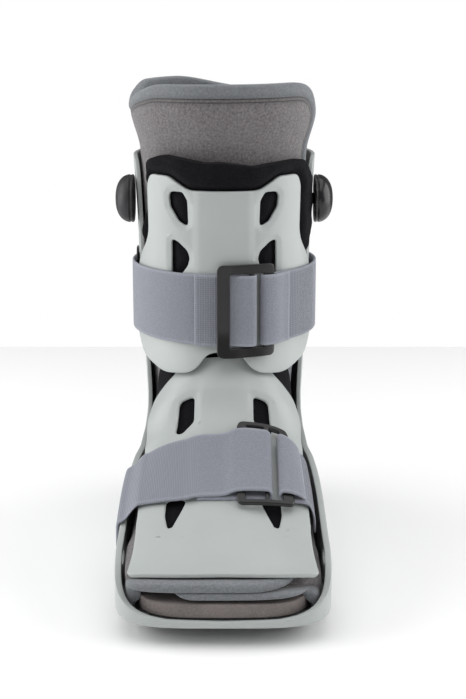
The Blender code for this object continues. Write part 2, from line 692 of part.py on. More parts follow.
def liner():
    """The band starts under the front flap, goes round by the right, the back and the left, and laps over."""
    runs = [LINER_TOE_GAP] + [FOOT_RUN * share for share in (0.176, 0.336, 0.528, 0.72, 1.0)]
    runs += [FOOT_RUN + FOLD_RUN * share for share in (0.12, 0.24, 0.35, 0.43, 0.5, 0.57, 0.67, 0.78, 0.89)]
    runs += [leg_run(mix(FOLD_Z, SHELL_TOP, share)) for share in (0.0, 0.35, 0.7, 1.0)]
    runs += [leg_run(mix(SHELL_TOP, LINER_TOP, share)) for share in (0.22, 0.45, 0.7, 1.0)]
    laps, rest = 8, 18
    stations = 2 * laps + rest + 1
    points = []
    for run in runs:
        foot = 1 - ease(run, 0.3 * LENGTH, LEG_START)
        lap_out = math.radians(mix(LINER_LAP_OUT, LINER_TOE_LAP_OUT, foot))
        lap_in = math.radians(mix(LINER_LAP_IN, LINER_TOE_LAP_IN, foot))
        wall = mix(LINER_WALL, LINER_FOOT_WALL, foot)
        turns = list(np.linspace(lap_in, lap_out, laps + 1)[:-1])
        turns += list(np.linspace(lap_out, lap_in + 2 * math.pi, rest + 1)[:-1])
        turns += list(np.linspace(lap_in, lap_out, laps + 1) + 2 * math.pi)
        for angle in turns:
            above = max(run - leg_run(SHELL_TOP), 0.0) / (LINER_TOP - SHELL_TOP)
            loose = GAP + LAP_LOOSE * min(3 * above, 1.0)
            tuck = (wall + loose) * (1 - ease(angle, lap_out + 0.1, lap_out + 0.9))
            low = body_point(angle, run, -tuck).z
            thick = mix(LINER_UNDER, wall, ease(low, FLOOR_TOP + 0.002, FLOOR_TOP + 0.011))
            corner = max(0.0, LINER_CORNER - (2 * math.pi + lap_out - angle) * LINER_FLARE_HALF_WIDTH)
            cut = LINER_CORNER - math.sqrt(max(LINER_CORNER**2 - corner**2, 0.0))
            lower = run - above * (cut + (LINER_TOP - SHELL_TOP) * drop_share(math.degrees(angle)))
            for depth in (tuck, tuck + thick):
                points.append(keep_inside(body_point(angle, lower, -depth), LINER_INSET + depth))
    row = 2 * stations
    faces = []
    for j in range(len(runs) - 1):
        for k in range(stations - 1):
            a, b = row * j + 2 * k, row * j + 2 * k + 2
            faces.append((a, b, b + row, a + row))
            faces.append((a + 1, a + 1 + row, b + 1 + row, b + 1))
        first, last = row * j, row * j + 2 * (stations - 1)
        faces.append((first, first + row, first + row + 1, first + 1))
        faces.append((last, last + 1, last + row + 1, last + row))
    for k in range(stations - 1):
        a, b = 2 * k, 2 * k + 2
        top = row * (len(runs) - 1)
        faces.append((a, a + 1, b + 1, b))
        faces.append((top + a, top + b, top + b + 1, top + a + 1))
    return make_object("liner", points, faces, (0.15, 0.14, 0.145), 0.95)


SHIN_HEIGHT = SHIN_PANEL_TOP - SHIN_PANEL_BOTTOM


def panel_half(z):
    return SHIN_HALF_WIDTH * panel_width_share((z - SHIN_PANEL_BOTTOM) / SHIN_HEIGHT)


def shin_point(arc, z, out=0.0):
    """A point out from the shin panel's outer face; arc is a length along its horizontal section."""
    angle = arc / SHIN_HALF_WIDTH
    low = 1 - ease(z, SHIN_PANEL_BOTTOM, SHIN_PANEL_BOTTOM + SHIN_FLARE_HEIGHT)
    flare = SHIN_FLARE * low * max(math.cos(angle), 0.0)
    half, depth = panel_half(z) + out, SHIN_DEPTH + flare + out
    return Vector((half * math.sin(angle), AXIS_Y - depth * math.cos(angle), z))


def shin_arc(x, z):
    return SHIN_HALF_WIDTH * math.asin(min(abs(x) / panel_half(z), 1.0)) * (1 if x >= 0 else -1)


def shin_outline(corners, side=1):
    """Corners as shares of the panel's half-width and height, turned into corners along its arc."""
    outline = []
    for across, up, radius in corners:
        z = SHIN_PANEL_BOTTOM + up * SHIN_HEIGHT
        outline.append((shin_arc(side * across * SHIN_HALF_WIDTH, z), z, radius * PANEL_CORNER))
    return outline


def shin_panel():
    right = shin_outline(SHIN_PANEL)
    rim = round_corners(mirrored(right[1:-1]) + right)
    holes = [round_corners(shin_outline(hole, side), 3) for side in (-1, 1) for hole in SHIN_HOLES]
    points, faces = plate(rim, holes, 0.012, 0.013, shin_point, lambda u, v: shin_point(u, v, -PANEL_WALL))
    return make_object("shin_panel", points, faces, (0.50, 0.53, 0.52), 0.38)


def shin_pad():
    """Thickest in front, where the panel stands away from the liner."""
    right = shin_outline(SHIN_PAD)
    rim = round_corners(mirrored(right) + right)
    outer = PANEL_WALL + 1.6 * SOFT_GAP
    thin, thick = 0.6 * SOFT_GAP, PANEL_STACK - outer - 1.5 * SOFT_GAP

    def inner(u, v):
        return shin_point(u, v, -outer - mix(thin, thick, math.cos(u / SHIN_HALF_WIDTH) ** 2))

    points, faces = plate(rim, [], 0.014, 0.02, lambda u, v: shin_point(u, v, -outer), inner)
    return make_object("shin_pad", points, faces, (0.012, 0.012, 0.016), 0.9)


def foot_angle(x, run):
    """The section angle at which the foot panel's outer face reaches x."""
    front, back, power = section(run)
    half = liner_half_width((front + back) / 2) + panel_out(run)
    share = min(abs(x) / half, 0.999)
    return math.copysign(math.atan2(share, (1 - share**power) ** (1 / power)), x)


def panel_out(run):
    if run < FOOT_RUN:
        return stack(TOE_Y + run)
    return mix(stack(FOLD_Y), PANEL_STACK, min((run - FOOT_RUN) / FOLD_RUN, 1.0))


ANGLE_SCALE = 0.060


def foot_point(u, run, under=0.0):
    """A point under the foot panel's outer face; u is the section angle as a length."""
    out = panel_out(run) - under
    p = body_point(u / ANGLE_SCALE, run, out)
    return keep_inside(p, SHELL_WALL + GAP + under) if p.z < WALL_BACK and p.y < AXIS_Y - CALF_EDGE else p


def foot_outline(corners, side=1):
    """Corners as shares of the panel's half-width and run, turned into corners along its section angle."""
    outline = []
    for across, along, radius in corners:
        run = along * FOOT_PANEL_RUN
        angle = foot_angle(side * across * FOOT_PANEL_HALF_WIDTH, run)
        outline.append((ANGLE_SCALE * angle, run, radius * PANEL_CORNER))
    return outline


def foot_panel():
    right = foot_outline(FOOT_PANEL)
    rim = round_corners(mirrored(right[1:]) + right)
    holes = [round_corners(foot_outline(hole, side), 3) for side in (-1, 1) for hole in FOOT_HOLES]
    points, faces = plate(rim, holes, 0.010, 0.013, foot_point, lambda u, v: foot_point(u, v, PANEL_WALL))
    return make_object("foot_panel", points, faces, (0.50, 0.53, 0.52), 0.38)


def foot_pad():
    right = foot_outline(FOOT_PAD)
    rim = round_corners(mirrored(right) + right)

    under = PANEL_WALL + 1.3 * SOFT_GAP

    def inner(u, run):
        return foot_point(u, run, panel_out(run) - 2 * SOFT_GAP)

    points, faces = plate(rim, [], 0.012, 0.013, lambda u, v: foot_point(u, v, under), inner)
    return make_object("foot_pad", points, faces, (0.012, 0.012, 0.016), 0.9)


def arc_of(centre, radius, start, end, steps=6):
    """Points of a round bend in a strap's path, between two angles in degrees."""
    turns = [math.radians(mix(start, end, k / steps)) for k in range(steps + 1)]
    return [(centre[0] + radius * math.cos(a), centre[1] + radius * math.sin(a)) for a in turns]


def even_path(points, step):
    """Adds points along an open path so that none of its stretches is longer than step."""
    path = [Vector(points[0])]
    for a, b in zip(points, points[1:]):
        a, b = Vector(a), Vector(b)
        parts = max(1, math.ceil((b - a).length / step))
        path += [a.lerp(b, k / parts) for k in range(1, parts + 1)]
    return path


# Heights of the strap's layers over the panel that it lies on
LAYER_1 = SOFT_GAP + STRAP_WALL / 2 - 0.0003
LOOP = BUCKLE_BAR / math.sqrt(2) + GAP + STRAP_WALL / 2
BAR_LOW = LAYER_1 + LOOP - BUCKLE_BAR / 2
LAYER_2 = LAYER_1 + STRAP_WALL + GAP
LAYER_TOP = LAYER_1 + 2 * LOOP
HIGH_BAR = LAYER_2 + STRAP_WALL / 2 + GAP


def buckle(name, bars, raised, centre, half_run, surface):
    """Three bars between two rails; a raised first bar leaves room for two layers of strap under it."""
    first, second, third = bars
    inner = STRAP_WIDTH / 2 + 2 * GAP
    low_edge, high_edge = centre - half_run, centre + half_run
    rim = round_corners([(first[0], low_edge, BUCKLE_CORNER), (third[1], low_edge, BUCKLE_CORNER),
                         (third[1], high_edge, BUCKLE_CORNER), (first[0], high_edge, BUCKLE_CORNER)])
    holes = []
    for low, high in ((first[1], second[0]), (second[1], third[0])):
        holes.append([Vector(p) for p in ((low, centre - inner), (high, centre - inner),
                                          (high, centre + inner), (low, centre + inner))])

    def low(u):
        return mix(HIGH_BAR if raised else BAR_LOW, BAR_LOW, ease(u, first[1], second[0]))

    points, faces = plate(rim, holes, 0.009, 0.011, lambda u, w: surface(u, w, low(u) + BUCKLE_BAR),
                          lambda u, w: surface(u, w, low(u)))
    return make_object(name, points, faces, (0.020, 0.020, 0.021), 0.35)


def across_strap(centre, width, rows):
    return [centre + width * (k / (rows - 1) - 0.5) for k in range(rows)]


SHIN_TURN = 2 * math.pi * SHIN_HALF_WIDTH
SHIN_BARS = ((-0.0045, 0.0040), (0.0171, 0.0195), (0.0274, 0.0350))


def shin_strap():
    """From its sewn end over the middle bar, round the leg, and back over the right bar."""
    middle = (sum(SHIN_BARS[1]) / 2, LAYER_1 + LOOP)
    right = (SHIN_BARS[2][0] + BUCKLE_BAR / 2 - SHIN_TURN, LAYER_1 + LOOP)
    back = CALF_ROUND - SHIN_DEPTH + SOFT_GAP + STRAP_WALL / 2
    path = [(-SHIN_STITCH, LAYER_2), (SHIN_BARS[0][1] + STRAP_WALL, LAYER_2)]
    path += [(middle[0] - 2 * STRAP_WALL, LAYER_TOP)]
    path += arc_of(middle, LOOP, 90, -90)
    path += [(-1.5 * SHIN_STITCH, LAYER_1), (-0.3 * SHIN_TURN, LAYER_1), (-0.4 * SHIN_TURN, back)]
    path += [(-0.6 * SHIN_TURN, back), (-0.7 * SHIN_TURN, LAYER_1), (right[0] + 4 * STRAP_WALL, LAYER_1)]
    path += arc_of(right, LOOP, 270, 90)
    path += [(SHIN_BARS[2][1] - SHIN_TURN, LAYER_TOP), (SHIN_TAB - 3 * STRAP_WALL - SHIN_TURN, LAYER_2),
             (SHIN_TAB - SHIN_TURN, LAYER_2)]
    rows = across_strap(SHIN_STRAP_Z, STRAP_WIDTH, 6)
    points, faces = ribbon(even_path(path, 0.012), rows, STRAP_WALL, shin_point)
    return make_object("shin_strap", points, faces, (0.19, 0.20, 0.23), 0.9)


def strap_anchor():
    """The plate on the left upright that holds the shin strap off the shell."""
    low, high = SHIN_STRAP_Z - 0.4 * STRAP_WIDTH, SHIN_STRAP_Z + 0.68 * STRAP_WIDTH
    front, rear = AXIS_Y - ANCHOR_WIDTH + ANCHOR_SET_BACK, AXIS_Y + ANCHOR_SET_BACK
    rim = round_corners([(front, low, 0.002), (rear, low, 0.002), (rear, high, 0.003), (front, high, 0.003)])
    points, faces = plate(rim, [], 0.008, 0.012, lambda y, z: Vector((-panel_half(z) + SOFT_GAP, y, z)),
                          lambda y, z: Vector((-rear_size(z)[0] - GAP, y, z)))
    return make_object("strap_anchor", points, faces, (0.03, 0.03, 0.035), 0.5)


FOOT_STRAP_FLAT = 0.055
FOOT_BARS = ((0.0090, 0.0150), (0.0284, 0.0308), (0.0398, 0.0470))


def foot_wrap(x, y, height):
    """A point over the foot panel, and beyond its edges over or beside the tray's wall."""
    flat = min(abs(x), FOOT_STRAP_FLAT)
    run = run_of(y)
    top = foot_point(ANGLE_SCALE * foot_angle(flat, run), run).z
    past = ease(abs(x), FOOT_STRAP_FLAT, FOOT_STRAP_FLAT + 0.013)
    grow = side_half_width(y, 0.0) / side_half_width(FOOT_STRAP_Y, 0.0)
    slope = (instep(y + STRAP_WALL) - instep(y - STRAP_WALL)) / (2 * STRAP_WALL)
    steep = mix(math.hypot(1.0, slope), 1.0, past)
    return Vector((x * mix(1.0, grow, ease(abs(x), 0.5 * FOOT_STRAP_FLAT, FOOT_STRAP_FLAT)), y,
                   mix(top, wall_top(y), past) + height * steep))


def foot_strap():
    wall = side_half_width(FOOT_STRAP_Y, 0.0)
    middle = (sum(FOOT_BARS[1]) / 2, LAYER_1 + LOOP)
    outside = wall + GAP + STRAP_WALL / 2 + 0.6 * SOFT_GAP
    path = [(-FOOT_STITCH, LAYER_1)] + arc_of(middle, LOOP, -90, 90)
    path += [(FOOT_BARS[0][0] - SOFT_GAP, LAYER_TOP), (SOFT_GAP, LAYER_2), (-FOOT_STITCH - SOFT_GAP, LAYER_2)]
    path += [(-FOOT_STITCH - 4 * STRAP_WALL, LAYER_1), (-FOOT_STRAP_FLAT + 3 * STRAP_WALL, LAYER_1)]
    path += [(-FOOT_STRAP_FLAT - 1.5 * STRAP_WALL, 1.6 * STRAP_WALL)]
    path += [(-wall + 1.6 * STRAP_WALL, 1.6 * STRAP_WALL)]
    path += [(-outside + 0.4 * STRAP_WALL, 0.8 * STRAP_WALL), (-outside, -0.8 * STRAP_WALL)]
    path += [(-outside, -FOOT_STRAP_DROP)]
    rows = across_strap(FOOT_STRAP_Y, FOOT_STRAP_RUN, 6)
    points, faces = ribbon(even_path(path, 0.011), rows, STRAP_WALL, foot_wrap)
    return make_object("foot_strap", points, faces, (0.19, 0.20, 0.23), 0.9)


def foot_strap_end():
    """The strap's other half, from inside the right wall up and back over the right bar."""
    wall = side_half_width(FOOT_STRAP_Y, 0.0)
    inside = wall - LIP_WIDTH - STRAP_WALL / 2 - 2.8 * SOFT_GAP
    right = (FOOT_BARS[2][0] + BUCKLE_BAR / 2, LAYER_1 + LOOP)
    path = [(inside, -FOOT_STRAP_DROP / 2), (inside, -2.2 * STRAP_WALL)]
    path += [(inside - 0.45 * STRAP_WALL, -0.5 * SOFT_GAP), (inside - 1.67 * STRAP_WALL, 2.2 * SOFT_GAP)]
    path += [(FOOT_STRAP_FLAT - 2 * SOFT_GAP, LAYER_1 + 1.4 * SOFT_GAP)]
    path += [(FOOT_BARS[2][1] + 1.5 * SOFT_GAP, LAYER_1 + 0.4 * SOFT_GAP)]
    path += arc_of(right, LOOP, 270, 90)
    path += [(FOOT_BARS[2][1] - SOFT_GAP, LAYER_TOP), (FOOT_TAB - 3 * SOFT_GAP, LAYER_TOP - 1.2 * SOFT_GAP)]
    path += [(FOOT_TAB, LAYER_2 + 1.2 * SOFT_GAP)]
    rows = across_strap(FOOT_STRAP_Y, FOOT_STRAP_RUN, 6)
    points, faces = ribbon(even_path(path, 0.011), rows, STRAP_WALL, foot_wrap)
    return make_object("foot_strap_end", points, faces, (0.19, 0.20, 0.23), 0.9)


def knob(name, side, profile, colour, roughness):
    """Turns a profile of (radius, height) points about X; its centre is on the knob's axis."""
    sides = 28
    base = rear_size(KNOB_Z + KNOB_RADIUS)[0] + GAP
    points, faces = [], []
    for radius, height in profile:
        for k in range(sides if radius > 0 else 1):
            a = 2 * math.pi * k / sides
            points.append(Vector((side * height, radius * math.cos(a), radius * math.sin(a))))
    faces += [(0, 1 + k, 1 + (k + 1) % sides) for k in range(sides)]
    for row in range(len(profile) - 3):
        first = 1 + row * sides
        for k in range(sides):
            n = (k + 1) % sides
            faces.append((first + k, first + sides + k, first + sides + n, first + n))
    last = len(points) - 1
    faces += [(last, last - sides + (k + 1) % sides, last - sides + k) for k in range(sides)]
    item = make_object(name, points, faces, colour, roughness)
    item.location = (side * base, KNOB_Y, KNOB_Z)
    return item


def dome_profile(edge):
    """From the knob's rim over its dome to the middle."""
    rim = [(KNOB_RADIUS - 0.0008, 0.0), (KNOB_RADIUS, 0.0008), (KNOB_RADIUS, edge)]
    for k in range(1, 6):
        a = math.pi / 2 * k / 6
        rim.append((KNOB_RADIUS * math.cos(a) ** 0.8, edge + (KNOB_HEIGHT - edge) * math.sin(a)))
    return rim + [(0.0, KNOB_HEIGHT)]


def pump_bulb():
    return knob("pump_bulb", -1, [(0.0, 0.0)] + dome_profile(KNOB_EDGE), (0.05, 0.05, 0.055), 0.55)


def selector_dial():
    base = rear_size(KNOB_Z + KNOB_RADIUS)[0] + GAP
    depth = base - (rear_size(KNOB_Z)[0] - SHELL_WALL) - SPINDLE_SHY
    spindle = [(0.0, -depth), (SPINDLE_RADIUS, -depth), (SPINDLE_RADIUS, 0.0)]
    return knob("selector_dial", 1, spindle + dome_profile(KNOB_EDGE), (0.012, 0.012, 0.014), 0.25)


def main():
    clear_scene()
    base_shell()
    outsole()
    insole()
    liner()
    shin_panel()
    shin_pad()
    foot_panel()
    foot_pad()
    shin_strap()
    strap_anchor()
    foot_strap()
    foot_strap_end()
    buckle("shin_buckle", SHIN_BARS, True, SHIN_STRAP_Z, BUCKLE_LENGTH / 2, shin_point)
    buckle("foot_buckle", FOOT_BARS, False, FOOT_STRAP_Y, FOOT_BUCKLE_RUN / 2, foot_wrap)
    pump_bulb()
    selector_dial()


main()
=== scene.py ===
"""Looks of the short walking boot: fine surfaces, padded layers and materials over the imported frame.

Metres, +Z up, toe towards -Y, as in the frame. The shapes follow the same named sizes as the frame's solids.
"""

import functools
import math

import bmesh
import bpy
import numpy as np
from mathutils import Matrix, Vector, noise
from mathutils.geometry import delaunay_2d_cdt


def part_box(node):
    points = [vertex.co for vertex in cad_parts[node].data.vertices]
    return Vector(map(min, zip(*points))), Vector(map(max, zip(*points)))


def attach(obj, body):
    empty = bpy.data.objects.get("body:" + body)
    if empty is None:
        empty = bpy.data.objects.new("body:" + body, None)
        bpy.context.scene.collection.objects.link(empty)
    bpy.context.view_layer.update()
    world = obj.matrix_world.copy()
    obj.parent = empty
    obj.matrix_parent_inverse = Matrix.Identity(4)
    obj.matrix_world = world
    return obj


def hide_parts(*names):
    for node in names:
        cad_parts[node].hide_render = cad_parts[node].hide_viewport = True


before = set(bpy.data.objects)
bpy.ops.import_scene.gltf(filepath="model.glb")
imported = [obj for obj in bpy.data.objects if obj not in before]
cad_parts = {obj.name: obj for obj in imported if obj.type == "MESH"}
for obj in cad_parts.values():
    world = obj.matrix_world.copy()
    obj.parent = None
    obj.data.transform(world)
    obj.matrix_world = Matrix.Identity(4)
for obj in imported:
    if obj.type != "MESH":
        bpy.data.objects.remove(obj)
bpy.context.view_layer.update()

# Sizes that the frame's solids have too; only the insole's taper and the liner's toe gap are the scene's own
GAP = 0.0004
SOFT_GAP = 0.0010
LENGTH = 0.300
TOE_Y, HEEL_Y = -LENGTH / 2, LENGTH / 2
TOE_HALF_WIDTH, HEEL_HALF_WIDTH = 0.0715, 0.0585
TOE_ROUND, TOE_POWER = 0.050, 4.0
HEEL_ROUND, HEEL_POWER = 0.083, 2.2
CALF_ROUND = 0.063
SHELL_WALL = 0.003
LIP_WIDTH, LIP_DEPTH = 0.0045, 0.007
SOLE_HEIGHT, FLOOR, FLOOR_FILLET = 0.012, 0.004, 0.0015
VENT_HALF_RUN, VENT_HALF_HEIGHT = 0.0070, 0.0045
TOE_LIP = 0.0184
RIM_CLEAR = 0.0035
WALL_BACK = 0.101
SHELL_TOP, SHELL_TOP_HALF_WIDTH = 0.290, 0.0665
SHELL_CORNER, ANKLE_FILLET = 0.014, 0.016
CALF_EDGE = 0.013
OUTSOLE_INSET, OUTSOLE_TOE_INSET = 0.004, 0.014
TOE_SPRING, HEEL_SPRING = 0.0100, 0.0040
INSOLE_TOP, INSOLE_BACK, INSOLE_FRONT, INSOLE_TOE_IN = 0.0288, 0.064, 0.0036, 0.04
LINER_TOP = 0.344
LINER_WALL, LINER_FOOT_WALL, LINER_UNDER = 0.0070, 0.0052, 0.0012
LINER_TOE_GAP = 0.0058
LAP_LOOSE = 0.0020
LINER_FLARE_HALF_WIDTH, LINER_FLARE, LINER_FLARE_RUN = 0.0685, 0.011, 0.035
STRAP_ROOM = 0.0022
SHIN_FRONT_Y = 0.005
FOLD_Y, FOLD_Z = -0.025, 0.175
FOLD_RUN = 0.100
PANEL_WALL = 0.003
PANEL_STACK, TOE_STACK = 0.0095, 0.0044
PANEL_CORNER = 0.006
SHIN_PANEL_TOP, SHIN_PANEL_BOTTOM = 0.279, 0.1385
SHIN_FLARE, SHIN_FLARE_HEIGHT = 0.010, 0.036
FOOT_PANEL_HALF_WIDTH, FOOT_PANEL_RUN = 0.0630, 0.184
SHIN_HALF_WIDTH = 0.0660
STRAP_WIDTH, STRAP_WALL = 0.0508, 0.0018
SHIN_STRAP_Z = 0.1865
FOOT_STRAP_Y, FOOT_STRAP_RUN = -0.0570, 0.0440
FOOT_STRAP_FLAT = 0.055
BUCKLE_BAR, BUCKLE_LENGTH, FOOT_BUCKLE_RUN = 0.0024, 0.066, 0.058
SHIN_BARS = ((-0.0045, 0.0040), (0.0171, 0.0195), (0.0274, 0.0350))
FOOT_BARS = ((0.0090, 0.0150), (0.0284, 0.0308), (0.0398, 0.0470))
KNOB_RADIUS, KNOB_HEIGHT, KNOB_EDGE = 0.0175, 0.0138, 0.0030
SPINDLE_RADIUS = 0.0040
ANGLE_SCALE = 0.060
HEEL_CORNER = 0.022

AXIS_Y = HEEL_Y - HEEL_ROUND
FLOOR_TOP = SOLE_HEIGHT + FLOOR
WALL_START = FLOOR_TOP + FLOOR_FILLET
SHIN_DEPTH = AXIS_Y - SHIN_FRONT_Y
CALF_BACK_Y = AXIS_Y + CALF_ROUND
TOE_START = TOE_Y + TOE_ROUND
LINER_INSET = SHELL_WALL + 2.2 * SOFT_GAP
FOOT_RUN = FOLD_Y - TOE_Y
LEG_START = FOOT_RUN + FOLD_RUN
SHIN_TURN = 2 * math.pi * SHIN_HALF_WIDTH

# Heights of the strap's layers over the panel that it lies on
LAYER_1 = SOFT_GAP + STRAP_WALL / 2 - 0.0003
LOOP = BUCKLE_BAR / math.sqrt(2) + GAP + STRAP_WALL / 2
BAR_LOW = LAYER_1 + LOOP - BUCKLE_BAR / 2
LAYER_2 = LAYER_1 + STRAP_WALL + GAP
LAYER_TOP = LAYER_1 + 2 * LOOP
HIGH_BAR = LAYER_2 + STRAP_WALL / 2 + GAP

# Shapes as shares of the sizes above
PLAN = ((-1 / 3, 1.0), (-0.2, 0.81), (-0.07, 0.42), (0.0, 0.12), (0.23, 0.0))
CALF_WIDTHS = ((0.38, 0.0), (0.74, 0.58), (0.82, 0.66), (1.0, 1.0))
WALL_TOP = ((-0.5, 0.0), (-0.49, 0.03), (-0.433, 0.17), (-0.367, 0.31), (-0.273, 0.44),
            (-0.103, 0.76), (0.0, 0.85), (0.1, 0.885), (0.17, 0.92))
INSTEP = ((-0.5, 0.25), (-0.45, 0.263), (-0.333, 0.354), (-0.2, 0.48), (-0.0667, 0.651), (0.0, 0.78))
FOLD = ((0, 0.465), (15, 0.53), (30, 0.6), (45, 0.62), (65, 0.705), (90, 1.0))
UNDER_SQUARENESS = ((-0.5, 10.0), (-0.1, 9.0), (0.1, 4.0), (0.3, 2.2), (0.5, 2.0))
SQUARENESS = ((-0.5, 5.0), (-0.4, 4.4), (-0.2, 3.0), (-0.06, 2.5), (0.12, 2.1), (0.5, 2.0))
# How far the liner's rim falls below its top, by the angle round the leg in degrees
LINER_DROPS = ((-60, 0.37), (20, 0.37), (60, 0.44), (90, 0.54), (130, 0.37), (180, 0.167), (215, 0.046),
               (240, 0.056), (255, 0.167), (272, 0.296), (300, 0.111), (318, 0.019), (360, 0.0), (440, 0.0))
# The vents' places, as shares of the length and of the wall's height there
VENTS = ((-0.36, 0.73), (-0.287, 0.68))

# Outlines of the right half, drawn closer to the photograph than the frame's: shares of half-width and
# height, and corner radii as shares of PANEL_CORNER
SHIN_PANEL = ((0.0, 0.13, 3.0), (0.18, 0.115, 2.0), (0.34, 0.015, 4.0), (0.66, -0.008, 5.0),
              (0.9, 0.05, 4.0), (0.972, 0.16, 2.5), (0.965, 0.473, 2.0), (0.93, 0.56, 2.0),
              (0.826, 0.68, 3.5), (0.838, 0.95, 2.0), (0.80, 1.005, 1.8), (0.60, 1.005, 2.0),
              (0.38, 0.94, 3.0), (0.0, 0.94, 0.0))
SHIN_HOLES = (((0.45, 0.9295, 0.5), (0.605, 0.9295, 0.8), (0.588, 0.8527, 0.8), (0.492, 0.7815, 0.8),
               (0.386, 0.7537, 0.6), (0.397, 0.8875, 0.7)),
              ((0.573, 0.69, 0.7), (0.573, 0.4875, 0.7), (0.485, 0.498, 1.0), (0.397, 0.555, 1.0),
               (0.373, 0.594, 0.8), (0.397, 0.633, 1.2), (0.5, 0.676, 1.0)))
FOOT_PANEL = ((0.0, 0.076, 6.0), (1.0, 0.068, 0.4), (0.932, 0.275, 3.0), (0.885, 0.57, 3.0),
              (0.885, 0.80, 2.0), (0.81, 0.885, 2.5), (0.575, 0.95, 2.0), (0.476, 1.0, 1.0))
FOOT_HOLES = (((0.338, 0.799, 0.5), (0.516, 0.791, 0.7), (0.556, 0.675, 0.7), (0.48, 0.665, 0.6),
               (0.344, 0.705, 0.5)),
              ((0.395, 0.41, 0.6), (0.635, 0.41, 0.5), (0.643, 0.345, 0.5), (0.605, 0.285, 0.5),
               (0.56, 0.285, 0.5)))
FOOT_PAD = ((0.794, 0.265, 1.67), (0.79, 0.652, 3.33), (0.885, 0.87, 1.67), (0.84, 1.033, 1.67))


def smooth_table(table):
    """A curve through the table's points that never overshoots them."""
    xs, ys = (np.array(column, float) for column in zip(*table))
    steps = np.diff(ys) / np.diff(xs)
    slopes = np.zeros_like(ys)
    for i in range(1, len(xs) - 1):
        if steps[i - 1] * steps[i] > 0:
            slopes[i] = 2 * steps[i - 1] * steps[i] / (steps[i - 1] + steps[i])
    slopes[0], slopes[-1] = steps[0], steps[-1]

    def value(x):
        x = min(max(x, xs[0]), xs[-1])
        i = min(int(np.searchsorted(xs, x, side="right")) - 1, len(xs) - 2)
        h = xs[i + 1] - xs[i]
        t = (x - xs[i]) / h
        return float(
            ys[i] * (1 + 2 * t) * (1 - t) ** 2 + ys[i + 1] * t * t * (3 - 2 * t)
            + h * slopes[i] * t * (1 - t) ** 2 - h * slopes[i + 1] * t * t * (1 - t)
        )

    return functools.lru_cache(maxsize=100000)(value)


def ease(x, start, end):
    """0 before start, 1 after end, smooth between them."""
    t = min(max((x - start) / (end - start), 0.0), 1.0)
    return t * t * (3 - 2 * t)


def ramp(x, start, end):
    """As ease, for an array and with a straight slope."""
    return np.clip((x - start) / (end - start), 0.0, 1.0)


def mix(a, b, t):
    return a + (b - a) * t


plan_share = smooth_table(PLAN)
calf_share = smooth_table(CALF_WIDTHS)
wall_share = smooth_table(WALL_TOP)
instep_share = smooth_table(INSTEP)
fold_share = smooth_table(FOLD)
squareness = smooth_table(SQUARENESS)
under_squareness = smooth_table(UNDER_SQUARENESS)
liner_drop = smooth_table(LINER_DROPS)


# The frame's surfaces

def calf_blend(z):
    """0 where a section is the foot's plan, 1 where it is the calf's ellipse."""
    return ease(z, 0.5 * WALL_BACK, 1.2 * WALL_BACK)


def rear_size(z):
    """Half-width and depth of the round rear of the shell at height z."""
    half = HEEL_HALF_WIDTH + (SHELL_TOP_HALF_WIDTH - HEEL_HALF_WIDTH) * calf_share(z / SHELL_TOP)
    return half, mix(HEEL_ROUND, CALF_ROUND, calf_blend(z))


def side_half_width(y, z, inset=0.0):
    """Half-width of the shell at y in front of the leg's axis, at height z."""
    foot = HEEL_HALF_WIDTH + (TOE_HALF_WIDTH - HEEL_HALF_WIDTH) * plan_share(y / LENGTH)
    half = rear_size(z)[0]
    reach = min(AXIS_Y - y, CALF_EDGE) / (CALF_ROUND - inset)
    calf = (half - inset) * math.sqrt(1 - reach * reach)
    return mix(foot - inset, calf, calf_blend(z) * ease(y, 0, AXIS_Y))


def wall_top(y):
    return TOE_LIP + (WALL_BACK - TOE_LIP) * wall_share(y / LENGTH)


REAR_RUN = 0.5 * math.pi * math.sqrt((HEEL_ROUND**2 + HEEL_HALF_WIDTH**2) / 2)
SIDE_RUN = AXIS_Y - TOE_START
TOE_RUN = TOE_HALF_WIDTH + TOE_ROUND
FULL_RUN = REAR_RUN + SIDE_RUN + TOE_RUN


def rounded(angle, half, depth, power, back_power=None):
    """A point of a superellipse, by its direction; its rear half may have another squareness."""
    c, s = math.cos(angle), math.sin(angle)
    power = back_power if back_power and c < 0 else power
    k = (abs(c) ** power + abs(s) ** power) ** (-1 / power)
    return half * k * s, depth * k * c


def shell_point(run, z, inset=0.0):
    """Run goes along the shell from the back's middle, + to the right; inset goes inwards."""
    side = math.copysign(1.0, run)
    run = abs(run)
    half, depth = rear_size(z)
    if run < REAR_RUN:
        x, y = rounded(run / REAR_RUN * math.pi / 2, half - inset, depth - inset, HEEL_POWER)
        y += AXIS_Y
    elif run < REAR_RUN + SIDE_RUN:
        y = AXIS_Y - (run - REAR_RUN)
        x = side_half_width(y, z, inset)
    else:
        angle = (run - REAR_RUN - SIDE_RUN) / TOE_RUN * math.pi / 2
        x, y = rounded(math.pi / 2 - angle, TOE_HALF_WIDTH - inset, TOE_ROUND - inset, TOE_POWER)
        y = TOE_START - y
    return Vector((side * x, y, z))


def side_run(y):
    """The run at which the shell's side reaches y."""
    if y >= TOE_START:
        return REAR_RUN + AXIS_Y - y
    share = min((TOE_START - y) / TOE_ROUND, 1.0)
    x = (1 - share**TOE_POWER) ** (1 / TOE_POWER)
    return REAR_RUN + SIDE_RUN + TOE_RUN * math.atan2(share, x) / (math.pi / 2)


def lip(y):
    """How much thicker the rim is than the wall, at y."""
    return (LIP_WIDTH - SHELL_WALL) * ease(wall_top(y), TOE_LIP, 2 * TOE_LIP) * (1 - ease(y, 0, AXIS_Y))


